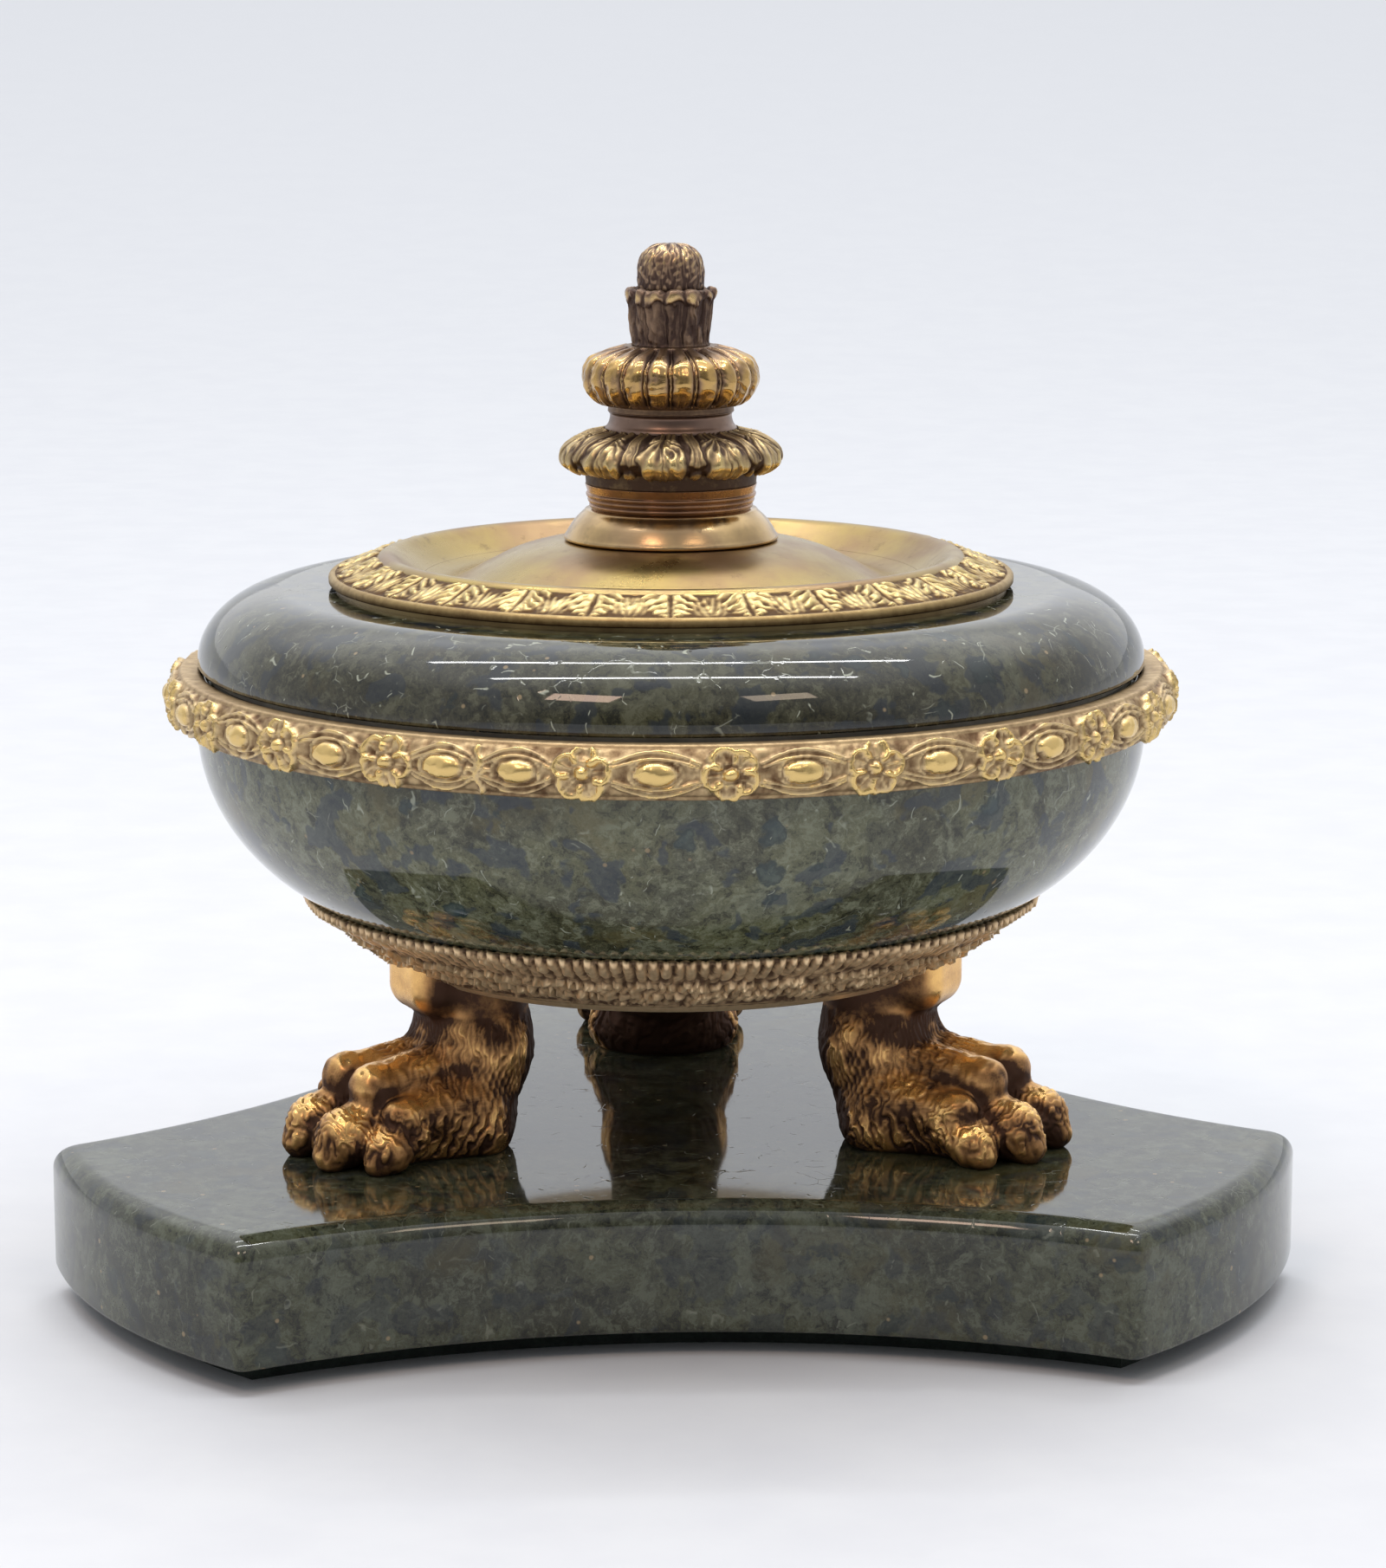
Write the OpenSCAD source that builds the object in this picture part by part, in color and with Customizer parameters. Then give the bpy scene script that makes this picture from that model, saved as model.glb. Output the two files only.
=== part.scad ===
// Desk inkwell: a round two-part marble bowl with a gilt bronze band and lid, on three lion's
// paws that stand on a three-sided marble plinth. Millimetres. The table is the plane z = 0, the
// bowl's axis is the Z axis, and one end of the plinth points along +Y.

/* [Plinth] */
// radius of the three convex ends about the bowl's axis
plinth_r = 80.3; // [77:0.1:86]
// thickness of the marble slab
plinth_h = 16; // [13:0.5:20]
// half of the angle that each convex end covers
end_half_angle = 19; // [16:0.5:23]
// distance from the axis to the middle of each concave side
side_mid = 47.2; // [45:0.1:50]
// rounding of the slab's upper edge
edge_round = 3; // [1:0.5:4]

/* [Felt] */
// thickness of the felt under the plinth
felt_h = 3; // [2:0.5:3.5]
// distance of the felt's edge from the plinth's edge
felt_inset = 6; // [3:0.5:10]

/* [Paws] */
// height of a paw from the plinth to the underside of the cradle
paw_h = 20.65; // [19.5:0.1:23]
// distance of the back of the leg from the axis
leg_back = 24.2; // [23:0.1:25]
// distance of the toe tips from the axis
toe_tip = 55.6; // [53:0.1:58]
// width of the leg
leg_w = 12; // [10:0.5:14]
// width across the toes
toes_w = 22; // [19:0.5:24]
// distance of the front of the bracket on top of the leg from the axis
bracket_front = 39; // [37.5:0.1:40]

/* [Cradle] */
// outer radius of the leaf gallery at its top edge
gallery_r = 47.6; // [46.8:0.1:49]
// height of the leaf gallery above the underside of the cradle
gallery_h = 9.2; // [8.6:0.1:9.6]
// radius of the flat underside of the cradle
cradle_foot_r = 34.3; // [33:0.1:36]
// thickness of the cradle's inner flange
flange_h = 1.95; // [1.5:0.05:2.2]
// thickness of the plate that lies on the flange
plate_h = 2.4; // [2:0.1:2.6]

/* [Bowl] */
// radius of both marbles where they meet
bowl_r = 60.4; // [58:0.1:63]
// height of the bowl's flat base above the table
bowl_base_z = 44.8; // [44.6:0.1:45]
// height of the widest part of the lower bowl above the table
bowl_wide_z = 70.4; // [69:0.1:71]
// radius of the bowl's flat base
bowl_base_r = 30; // [29:0.5:31]
// radius of the hollow inside the lower bowl
hollow_r = 38; // [36:0.5:42]
// thickness of the bowl's floor
bowl_floor = 8; // [6:0.5:10]

/* [Upper marble] */
// height of the upper marble's flat top above the table
top_z = 87.5; // [86.5:0.1:88.5]
// height of the upper marble's lower face above the table
joint_z = 77.9; // [77.7:0.1:78.3]
// radius of the flat part of the top
flat_r = 49; // [46:0.5:51]
// radius of the round opening
opening_r = 34; // [33.6:0.1:35]

/* [Band] */
// height of the band's lower edge above the table
band_low_z = 71.1; // [70.8:0.1:71.3]
// height of the band's upper edge above the table
band_high_z = 77.6; // [77.2:0.1:77.65]
// radius of the plain lips of the band
band_lip_r = 62.6; // [61.8:0.1:63]
// radius of the band's rounded middle
band_mid_r = 63.7; // [63.2:0.1:64.5]

/* [Collar and liner] */
// outer radius of the brass collar's flange
collar_flange_r = 42.6; // [40:0.1:43]
// bore of the brass collar
collar_bore_r = 32.6; // [32.2:0.1:33]
// outer radius of the ink liner
liner_r = 26.4; // [22:0.1:27]
// depth of the ink liner below its lip
liner_h = 26; // [20:0.5:26]
// wall of the ink liner
liner_wall = 1.8; // [1.2:0.1:2.5]

/* [Lid] */
// outer radius of the lid
lid_r = 43.5; // [43.2:0.1:44.5]
// thickness of the lid's outer rim
lid_rim_h = 1.1; // [0.9:0.1:1.4]
// radius of the raised ring inside the leaf border
crest_r = 36.2; // [35:0.1:37]
// height of that ring above the lid's rim
crest_h = 3.7; // [3:0.1:4.5]
// radius of the lowest line of the dish
valley_r = 29.6; // [28:0.1:30]
// height of the flat under the finial above the lid's rim
seat_h = 5.1; // [4.8:0.1:5.6]
// thickness of the dished sheet
lid_wall = 1.2; // [1:0.1:1.3]

/* [Finial] */
// largest radius of the socle
socle_r = 13.6; // [12.5:0.1:14.5]
// height of the socle
socle_h = 4; // [3.5:0.1:5]
// radius of the grooved neck
neck_r = 10.7; // [9.5:0.1:11.2]
// height of the grooved neck
neck_h = 3.2; // [2.8:0.1:4]
// largest radius of the leaf collar
leaf_r = 14.45; // [13.5:0.05:15.5]
// height of the leaf collar
leaf_h = 6.8; // [6:0.1:7.5]
// radius of the plain upper neck
upper_neck_r = 7.6; // [6.8:0.1:8]
// height of the plain upper neck
upper_neck_h = 2.4; // [2:0.1:3]
// largest radius of the gadrooned knop
knop_r = 11.2; // [10.5:0.1:12]
// height of the gadrooned knop
knop_h = 8.3; // [7.5:0.1:9]
// radius of the calyx at its rim
calyx_r = 5.85; // [5.6:0.05:6.3]
// height of the calyx
calyx_h = 7.1; // [6.5:0.1:8]
// radius of the bud
bud_r = 4.2; // [3.8:0.1:4.4]
// height of the bud above the calyx
bud_h = 6; // [5:0.1:7]

/* [Hidden] */
fit = 0.05;
round_fn = 96;
small_fn = 48;
hex_fn = 6;
end_angles = [-150, -30, 90];
eps = 1;

// plinth
plinth_z = felt_h;
floor_z = plinth_z + plinth_h;
corner_x = plinth_r * sin(60 - end_half_angle);
corner_y = plinth_r * cos(60 - end_half_angle);
sag = corner_y - side_mid;
side_r = (corner_x * corner_x + sag * sag) / (2 * sag);
side_centre = side_mid + side_r;
edge_in = 0.97 * edge_round;

// screws from the plinth into the paws
foot_screw_at = 34;
foot_screw_r = 2;
foot_head_r = 3.6;
foot_head_h = 2.6;
foot_hole_r = 2.3;
foot_washer_r = 4.6;
foot_washer_h = 0.8;
foot_sink_r = 5.4;
foot_sink_h = 5;
foot_screw_up = 8;

// paws, measured from the top of the plinth
bracket_w = 14;
bracket_h = 3.2;
bracket_round = 1;
neck_front = 36.2;
heel = 26.4;
shank_low = 8;
toe_r = 3.5;
toe_z = 3.2;
toe_count = 4;
toe_gap = (toes_w - 2 * toe_r) / (toe_count - 1);
knuckle_r = 3.3;
knuckle_z = 10;
knuckle_in = 6.6;
toe_arc = 1.9;

// cradle
cradle_z = floor_z + paw_h;
plate_z = cradle_z + flange_h;
leather_z = plate_z + plate_h;
leather_h = bowl_base_z - leather_z;
leather_r = 27;
leather_bore = 8;
flange_bore = 22;
plate_r = 35.2;
gallery_low_z = 2.5;
gallery_low_r = 38;
gallery_wall = 1;
gallery_in_low_r = 36;
cradle_screw_at = 31;
cradle_screw_r = 1.5;
cradle_head_r = 2.9;
cradle_hole_r = 1.75;
cradle_screw_down = 8;

// bowl and its centre bolt
bowl_a = bowl_r - bowl_base_r;
bowl_b = bowl_wide_z - bowl_base_z;
ledge_z = band_low_z + 0.8;
ledge_r = 59.6;
bowl_rim_z = joint_z - 0.9;
floor_top_z = bowl_base_z + bowl_floor;
hollow_round = 6;
bolt_r = 3;
bolt_hole_r = 3.4;
bolt_head_af = 10;
bolt_head_r = bolt_head_af / 2 / cos(30);
bolt_head_h = 2.6;
bolt_washer_r = 9;
bolt_washer_h = 1;
nut_h = 4.6;
bolt_end_z = plate_z - nut_h - 1;
bed_in_r = 42;

// upper marble
top_a = bowl_r - 0.2 - flat_r;
top_b = top_z - joint_z - 0.6;
joint_edge = 0.6;
opening_edge = 0.6;

// band
band_in_r = ledge_r + 0.15;
band_hook_r = bowl_r + 0.5;
band_lip_h = 0.8;

// collar and liner
collar_flange_h = 0.6;
collar_top_z = top_z + collar_flange_h;
collar_out_r = opening_r - 0.2;
collar_ledge_z = top_z - 4.5;
collar_ledge_r = 28.4;
collar_low_z = top_z - 14;
gasket_h = 0.4;
gasket_in_r = 28.8;
lip_r = 31.4;
lip_h = 1.3;
lip_z = collar_ledge_z + gasket_h;
liner_floor = 2.4;
liner_round = 4;

// lid, measured from the plane of its rim
lid_z = collar_top_z;
land_r = 40;
valley_h = 0;
hill_r = 18;
hill_h = 4.3;
crest_round = 1.2;
spigot_r = 31.6;
spigot_wall = 1.4;
spigot_low = -2.9;
lid_hole_r = 2.3;
under_seat_r = 12;

// finial and its rod
socle_z = lid_z + seat_h;
neck_z = socle_z + socle_h;
leaf_z = neck_z + neck_h;
upper_neck_z = leaf_z + leaf_h;
knop_z = upper_neck_z + upper_neck_h;
calyx_z = knop_z + knop_h;
rim_z = calyx_z + calyx_h;
socle_top_r = 10.6;
socle_edge = 0.5;
groove = 0.25;
leaf_core_r = 9.9;
leaf_mid = 2.6;
knop_core_r = 6.9;
knop_end_r = 6;
calyx_low_r = 5.1;
calyx_roll = 0.8;
bud_seat = 3;
bud_gap = 0.1;
bud_straight = 2.2;
rod_r = 2;
rod_low_z = lid_z + seat_h - lid_wall - 4.6;
rod_high_z = rim_z - bud_seat + 2.4;
lid_washer_r = 5;
lid_washer_h = 0.8;
lid_nut_af = 7;
lid_nut_h = 2.6;

// points of an elliptical arc about [cr, cz]
function arc(cr, cz, a, b, from, to, n) =
    [for (i = [0:n]) let (t = from + (to - from) * i / n) [cr + a * cos(t), cz + b * sin(t)]];

// points of a straight ramp whose ends are eased, from [r0, z0] to [r1, z1]
function eased(r0, z0, r1, z1, n) =
    [for (i = [0:n]) let (s = i / n) [r0 + (r1 - r0) * s, z0 + (z1 - z0) * (1 - cos(180 * s)) / 2]];

module ring(r_out, r_in, z, h) {
    translate([0, 0, z])
        difference() {
            cylinder(r = r_out, h = h, $fn = round_fn);
            translate([0, 0, -eps])
                cylinder(r = r_in, h = h + 2 * eps, $fn = round_fn);
        }
}

module revolve(points) {
    rotate_extrude($fn = round_fn)
        polygon(points);
}

module at_ends(radius) {
    for (a = end_angles)
        rotate([0, 0, a])
            translate([radius, 0, 0])
                children();
}

// Felt glued under the plinth, over the screws

module felt() {
    color("dimgray")
        difference() {
            cylinder(r = plinth_r - felt_inset, h = felt_h, $fn = round_fn);
            for (a = end_angles)
                rotate([0, 0, a + 90])
                    translate([0, side_centre, -eps])
                        cylinder(r = side_r + felt_inset, h = felt_h + 2 * eps, $fn = 2 * round_fn);
        }
}

// Plinth: a disc with a rounded upper edge, cut back by three concave sides. The rounding's centre
// lies edge_in inside both faces, a little less than its radius, so it meets them at a faint crease.

module plinth_disc() {
    rotate_extrude($fn = round_fn) {
        translate([0, plinth_z])
            square([plinth_r - edge_in, plinth_h]);
        translate([0, plinth_z])
            square([plinth_r, plinth_h - edge_in]);
        intersection() {
            translate([plinth_r - edge_in, floor_z - edge_in])
                circle(r = edge_round, $fn = small_fn);
            translate([0, plinth_z])
                square([plinth_r, plinth_h]);
        }
    }
}

module side_cutter() {
    translate([0, side_centre, 0])
        rotate_extrude($fn = 2 * round_fn)
            difference() {
                square([side_r + edge_in, floor_z + eps]);
                translate([side_r, -eps])
                    square([edge_round, floor_z - edge_in + eps]);
                translate([side_r + edge_in, floor_z - edge_in])
                    circle(r = edge_round, $fn = small_fn);
            }
}

module plinth() {
    color("darkslategray")
        difference() {
            plinth_disc();
            for (a = end_angles)
                rotate([0, 0, a + 90])
                    side_cutter();
            at_ends(foot_screw_at) {
                translate([0, 0, plinth_z - eps])
                    cylinder(r = foot_hole_r, h = plinth_h + 2 * eps, $fn = small_fn);
                translate([0, 0, plinth_z - eps])
                    cylinder(r = foot_sink_r, h = foot_sink_h + eps, $fn = small_fn);
            }
        }
}

// Screws that hold the paws from below

module foot_washers() {
    color("silver")
        at_ends(foot_screw_at)
            ring(foot_washer_r, foot_hole_r, plinth_z + foot_sink_h - foot_washer_h, foot_washer_h);
}

module foot_screws() {
    head_z = plinth_z + foot_sink_h - foot_washer_h - foot_head_h;
    color("silver")
        at_ends(foot_screw_at)
            difference() {
                union() {
                    translate([0, 0, head_z])
                        cylinder(r = foot_head_r, h = foot_head_h, $fn = small_fn);
                    translate([0, 0, head_z])
                        cylinder(r = foot_screw_r, h = floor_z + foot_screw_up - head_z,
                            $fn = small_fn);
                }
                translate([-foot_head_r, -foot_screw_r / 4, head_z - eps])
                    cube([2 * foot_head_r, foot_screw_r / 2, eps + foot_head_h / 2]);
            }
}

// Lion's paws

// outline of the paw seen from its side: distance from the axis and height above the plinth
module paw_side() {
    polygon([[heel, 0], [toe_tip - toe_r, 0], [toe_tip - toe_r, toe_z + toe_r],
        [toe_tip - knuckle_in - knuckle_r / 2, knuckle_z], [neck_front + 2, knuckle_z + 2],
        [neck_front, paw_h - bracket_h - 3], [neck_front, paw_h], [leg_back, paw_h],
        [leg_back, shank_low]]);
}

// outline of the paw seen from above
module paw_plan() {
    intersection() {
        polygon([[leg_back, -leg_w / 2], [neck_front, -leg_w / 2],
            [toe_tip - knuckle_in - toe_r, -toes_w / 2 + 1], [toe_tip - toe_r, -toes_w / 2 + 1],
            [toe_tip - toe_r, toes_w / 2 - 1], [toe_tip - knuckle_in - toe_r, toes_w / 2 - 1],
            [neck_front, leg_w / 2], [leg_back, leg_w / 2]]);
        translate([leg_back - 1, 0, 0])
            circle(r = toe_tip - leg_back, $fn = round_fn);
    }
}

module paw_bracket() {
    translate([leg_back, -bracket_w / 2, paw_h - bracket_h + bracket_round])
        cube([bracket_front - leg_back, bracket_w, bracket_h + gallery_low_z]);
    translate([leg_back, -bracket_w / 2 + bracket_round, paw_h - bracket_h])
        cube([bracket_front - bracket_round - leg_back, bracket_w - 2 * bracket_round,
            bracket_h]);
}

module paw_toes() {
    for (i = [0:toe_count - 1])
        let (y = (i - (toe_count - 1) / 2) * toe_gap, back = abs(i - (toe_count - 1) / 2) * toe_arc) {
            translate([toe_tip - toe_r + toe_arc / 2 - back, y, toe_z])
                sphere(r = toe_r, $fn = small_fn);
            translate([toe_tip - knuckle_in - back, y, knuckle_z])
                sphere(r = knuckle_r, $fn = small_fn);
            translate([toe_tip - knuckle_in - back, y, 0])
                cylinder(r = knuckle_r, h = knuckle_z, $fn = small_fn);
        }
}

// the space that the cradle takes above the paws
module cradle_envelope() {
    translate([0, 0, cradle_z])
        revolve([[0, 0], [cradle_foot_r, 0], [gallery_low_r, gallery_low_z], [gallery_r, gallery_h],
            [gallery_r, gallery_h + 2], [0, gallery_h + 2]]);
}

module paw(angle) {
    color("peru")
        difference() {
            rotate([0, 0, angle])
                translate([0, 0, floor_z])
                    difference() {
                        union() {
                            intersection() {
                                rotate([90, 0, 0])
                                    linear_extrude(height = toes_w, center = true)
                                        paw_side();
                                linear_extrude(height = paw_h)
                                    paw_plan();
                            }
                            paw_toes();
                            paw_bracket();
                        }
                        translate([0, -toes_w, -toes_w])
                            cube([2 * toe_tip, 2 * toes_w, toes_w]);
                        translate([foot_screw_at, 0, -eps])
                            cylinder(r = foot_screw_r + fit, h = eps + foot_screw_up + eps,
                                $fn = small_fn);
                        translate([cradle_screw_at, 0, paw_h - cradle_screw_down - eps])
                            cylinder(r = cradle_screw_r + fit, h = cradle_screw_down + 2 * eps,
                                $fn = small_fn);
                    }
            cradle_envelope();
        }
}

module paw_left() {
    paw(end_angles[0]);
}

module paw_right() {
    paw(end_angles[1]);
}

module paw_rear() {
    paw(end_angles[2]);
}

// Cradle: a leaf gallery with an inner flange, and a plate screwed through it into the paws

module cradle_ring() {
    color("peru")
        difference() {
            translate([0, 0, cradle_z])
                revolve([[flange_bore, 0], [cradle_foot_r, 0], [gallery_low_r, gallery_low_z],
                    [gallery_r, gallery_h - gallery_wall / 2], [gallery_r - gallery_wall / 2, gallery_h],
                    [gallery_r - gallery_wall, gallery_h - gallery_wall / 2],
                    [gallery_in_low_r, flange_h + plate_h - gallery_wall], [gallery_in_low_r - fit, flange_h],
                    [flange_bore, flange_h]]);
            at_ends(cradle_screw_at)
                translate([0, 0, cradle_z - eps])
                    cylinder(r = cradle_hole_r, h = flange_h + 2 * eps, $fn = small_fn);
        }
}

module cradle_plate() {
    color("goldenrod")
        difference() {
            translate([0, 0, plate_z])
                cylinder(r = plate_r, h = plate_h, $fn = round_fn);
            translate([0, 0, plate_z - eps])
                cylinder(r = bolt_hole_r, h = plate_h + 2 * eps, $fn = small_fn);
            at_ends(cradle_screw_at) {
                translate([0, 0, plate_z - eps])
                    cylinder(r = cradle_hole_r, h = plate_h + 2 * eps, $fn = small_fn);
                translate([0, 0, leather_z - (cradle_head_r - cradle_hole_r)])
                    cylinder(r1 = cradle_hole_r, r2 = cradle_head_r + fit + eps,
                        h = cradle_head_r - cradle_hole_r + fit + eps, $fn = small_fn);
            }
        }
}

module cradle_screws() {
    cone = cradle_head_r - cradle_screw_r;
    color("silver")
        at_ends(cradle_screw_at)
            difference() {
                union() {
                    translate([0, 0, cradle_z - cradle_screw_down + eps])
                        cylinder(r = cradle_screw_r, h = leather_z - cradle_z + cradle_screw_down
                            - eps, $fn = small_fn);
                    translate([0, 0, leather_z - cone])
                        cylinder(r1 = cradle_screw_r, r2 = cradle_head_r, h = cone, $fn = small_fn);
                }
                translate([-cradle_head_r - eps, -cradle_screw_r / 4, leather_z - cone / 2])
                    cube([2 * (cradle_head_r + eps), cradle_screw_r / 2, cone]);
            }
}

module bowl_leather() {
    color("saddlebrown")
        ring(leather_r, leather_bore, leather_z, leather_h);
}

// Lower bowl and its centre bolt

module lower_bowl() {
    color("darkslategray")
        revolve(concat(
            [[bolt_hole_r, bowl_base_z]],
            arc(bowl_base_r, bowl_wide_z, bowl_a, bowl_b, -90, 0, 24),
            [[bowl_r, ledge_z], [ledge_r, ledge_z], [ledge_r, bowl_rim_z], [hollow_r, bowl_rim_z]],
            arc(hollow_r - hollow_round, floor_top_z + hollow_round, hollow_round, hollow_round,
                0, -90, 8),
            [[bolt_hole_r, floor_top_z]]));
}

module bowl_bolt() {
    head_z = floor_top_z + bolt_washer_h;
    color("silver") {
        difference() {
            union() {
                translate([0, 0, head_z])
                    cylinder(r = bolt_head_r, h = bolt_head_h, $fn = hex_fn);
                translate([0, 0, bolt_end_z])
                    cylinder(r = bolt_r, h = head_z - bolt_end_z + eps, $fn = small_fn);
            }
            translate([-bolt_head_r, -0.6, head_z + bolt_head_h - 1])
                cube([2 * bolt_head_r, 1.2, 2]);
        }
    }
}

module bowl_washer() {
    color("silver")
        ring(bolt_washer_r, bolt_hole_r, floor_top_z, bolt_washer_h);
}

module bowl_nut() {
    color("silver")
        translate([0, 0, plate_z - nut_h])
            difference() {
                cylinder(r = bolt_head_r, h = nut_h, $fn = hex_fn);
                translate([0, 0, -eps])
                    cylinder(r = bolt_r + fit, h = nut_h + 2 * eps, $fn = small_fn);
            }
}

// Gilt band, the bed of plaster inside it, and the upper marble

module band() {
    mid_z = (band_low_z + band_high_z) / 2;
    half_h = (band_high_z - band_low_z) / 2 - band_lip_h;
    color("gold")
        revolve(concat(
            [[band_hook_r, ledge_z], [band_hook_r, band_low_z], [band_lip_r, band_low_z],
                [band_lip_r, band_low_z + band_lip_h]],
            arc(band_lip_r - 0.2, mid_z, band_mid_r - band_lip_r + 0.2, half_h, -80, 80, 12),
            [[band_lip_r, band_high_z - band_lip_h], [band_lip_r, band_high_z],
                [band_in_r, band_high_z], [band_in_r, ledge_z]]));
}

module marble_bed() {
    color("linen")
        ring(ledge_r - 1, bed_in_r, bowl_rim_z, joint_z - bowl_rim_z);
}

module upper_marble() {
    color("darkslategray")
        revolve(concat(
            [[opening_r, joint_z], [bowl_r - 0.2 - joint_edge, joint_z]],
            arc(bowl_r - 0.2 - joint_edge, joint_z + joint_edge, joint_edge, joint_edge, -60, 0, 4),
            arc(flat_r, top_z - top_b, top_a, top_b, 4, 90, 20),
            [[opening_r + opening_edge, top_z], [opening_r, top_z - opening_edge]]));
}

// Brass collar in the opening, and the removable ink liner that hangs in it

module collar() {
    color("gold")
        revolve([[collar_flange_r, top_z], [collar_flange_r, collar_top_z],
            [collar_bore_r, collar_top_z], [collar_bore_r, collar_ledge_z],
            [collar_ledge_r, collar_ledge_z], [collar_ledge_r, collar_ledge_z - 1.4],
            [collar_bore_r, collar_ledge_z - 1.4], [collar_bore_r, collar_low_z],
            [collar_out_r, collar_low_z], [collar_out_r, top_z]]);
}

module liner_gasket() {
    color("saddlebrown")
        ring(lip_r, gasket_in_r, collar_ledge_z, gasket_h);
}

module liner() {
    low = lip_z - liner_h;
    inner = liner_r - liner_wall;
    color("white")
        revolve(concat(
            [[0, low]],
            arc(liner_r - liner_round, low + liner_round, liner_round, liner_round, -90, 0, 8),
            [[liner_r, lip_z], [lip_r, lip_z], [lip_r, lip_z + lip_h - 0.4],
                [lip_r - 0.4, lip_z + lip_h], [inner + 0.4, lip_z + lip_h],
                [inner, lip_z + lip_h - 0.4]],
            arc(inner - liner_round, low + liner_floor + liner_round, liner_round, liner_round,
                0, -90, 8),
            [[0, low + liner_floor]]));
}

// Lid: a dished sheet with a flat landing, and a ring below it that centres it in the collar

// upper face of the dish from the rim to the flat under the finial, above the rim's plane
function dish_line(drop) = concat(
    eased(lid_r - 0.4, lid_rim_h - drop, crest_r + crest_round, crest_h - drop, 8),
    eased(crest_r - crest_round, crest_h - drop, valley_r, valley_h + lid_wall - drop, 10),
    eased(valley_r - 1, valley_h + lid_wall - drop, hill_r, hill_h - drop, 10));

// lower face of the dish from the flat under the finial to the landing
function under_line() = concat(
    [[hill_r - 3, seat_h - lid_wall - 0.3]],
    eased(hill_r, hill_h - lid_wall, valley_r - 1, valley_h, 10),
    eased(valley_r, valley_h, crest_r - crest_round, crest_h - lid_wall, 10),
    [[crest_r + crest_round, crest_h - lid_wall], [land_r, 0]]);

module lid_dish() {
    color("goldenrod")
        translate([0, 0, lid_z])
            revolve(concat(
                [[lid_r - 0.2, 0], [lid_r, 0.3], [lid_r, lid_rim_h - 0.3]],
                dish_line(0),
                [[hill_r - 3, seat_h - 0.3], [socle_r, seat_h], [lid_hole_r, seat_h],
                    [lid_hole_r, seat_h - lid_wall], [under_seat_r, seat_h - lid_wall]],
                under_line()));
}

module lid_spigot() {
    color("goldenrod")
        difference() {
            ring(spigot_r, spigot_r - spigot_wall, lid_z + spigot_low, -spigot_low + valley_h + 2);
            translate([0, 0, lid_z])
                revolve(concat(under_line(), [[land_r, 4 * eps], [hill_r, 8 * eps]]));
        }
}

// Finial: turned and cast pieces threaded on one rod

module finial_socle() {
    color("goldenrod")
        translate([0, 0, socle_z])
            revolve([[rod_r + fit, 0], [socle_r - 0.2, 0], [socle_r, socle_edge / 2],
                [socle_r - 0.15, socle_edge], [socle_r - 0.8, socle_h * 0.45],
                [socle_r - 1.3, socle_h * 0.66], [socle_r - 2, socle_h * 0.84],
                [socle_top_r, socle_h], [rod_r + fit, socle_h]]);
}

module finial_neck() {
    step = neck_h / 7;
    color("goldenrod")
        translate([0, 0, neck_z])
            revolve([[rod_r + fit, 0], [neck_r - groove, 0], [neck_r - groove, step],
                [neck_r, step], [neck_r, 2 * step], [neck_r - groove, 2 * step],
                [neck_r - groove, 3 * step], [neck_r, 3 * step], [neck_r, 4 * step],
                [neck_r - groove, 4 * step], [neck_r - groove, 5 * step], [neck_r, 5 * step],
                [neck_r, neck_h], [rod_r + fit, neck_h]]);
}

module finial_leaf_collar() {
    color("goldenrod")
        translate([0, 0, leaf_z])
            revolve(concat(
                [[rod_r + fit, 0]],
                arc(leaf_core_r, leaf_mid, leaf_r - leaf_core_r, leaf_mid, -90, 0, 10),
                arc(leaf_core_r, leaf_mid, leaf_r - leaf_core_r, leaf_h - leaf_mid - 0.6, 8, 80, 10),
                [[upper_neck_r + 1, leaf_h - 0.4], [upper_neck_r, leaf_h], [rod_r + fit, leaf_h]]));
}

module finial_upper_neck() {
    color("goldenrod")
        translate([0, 0, upper_neck_z])
            revolve([[rod_r + fit, 0], [upper_neck_r + 0.4, 0], [upper_neck_r + 0.4, 0.4],
                [upper_neck_r, 0.6], [upper_neck_r - 0.1, upper_neck_h / 2],
                [upper_neck_r + 0.2, upper_neck_h], [rod_r + fit, upper_neck_h]]);
}

module finial_knop() {
    color("goldenrod")
        translate([0, 0, knop_z])
            revolve(concat(
                [[rod_r + fit, 0]],
                arc(knop_core_r, knop_h / 2, knop_r - knop_core_r, knop_h / 2, -90, 80, 20),
                [[knop_end_r, knop_h], [rod_r + fit, knop_h]]));
}

module finial_calyx() {
    color("goldenrod")
        translate([0, 0, calyx_z])
            revolve([[rod_r + fit, 0], [calyx_low_r, 0], [calyx_low_r + 0.25, calyx_h * 0.3],
                [calyx_r - 0.15, calyx_h - 2 * calyx_roll], [calyx_r, calyx_h - calyx_roll],
                [calyx_r - 0.2, calyx_h - calyx_roll / 3], [bud_r + calyx_roll, calyx_h],
                [bud_r + bud_gap, calyx_h - 0.2], [bud_r + bud_gap, calyx_h - bud_seat],
                [rod_r + fit, calyx_h - bud_seat]]);
}

module finial_bud() {
    color("goldenrod")
        difference() {
            translate([0, 0, rim_z - bud_seat])
                revolve(concat(
                    [[0, 0], [bud_r, 0]],
                    arc(0, bud_seat + bud_straight, bud_r, bud_h - bud_straight, 0, 90, 12)));
            translate([0, 0, rim_z - bud_seat - eps])
                cylinder(r = rod_r + fit, h = rod_high_z - rim_z + bud_seat + 2 * eps,
                    $fn = small_fn);
        }
}

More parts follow.
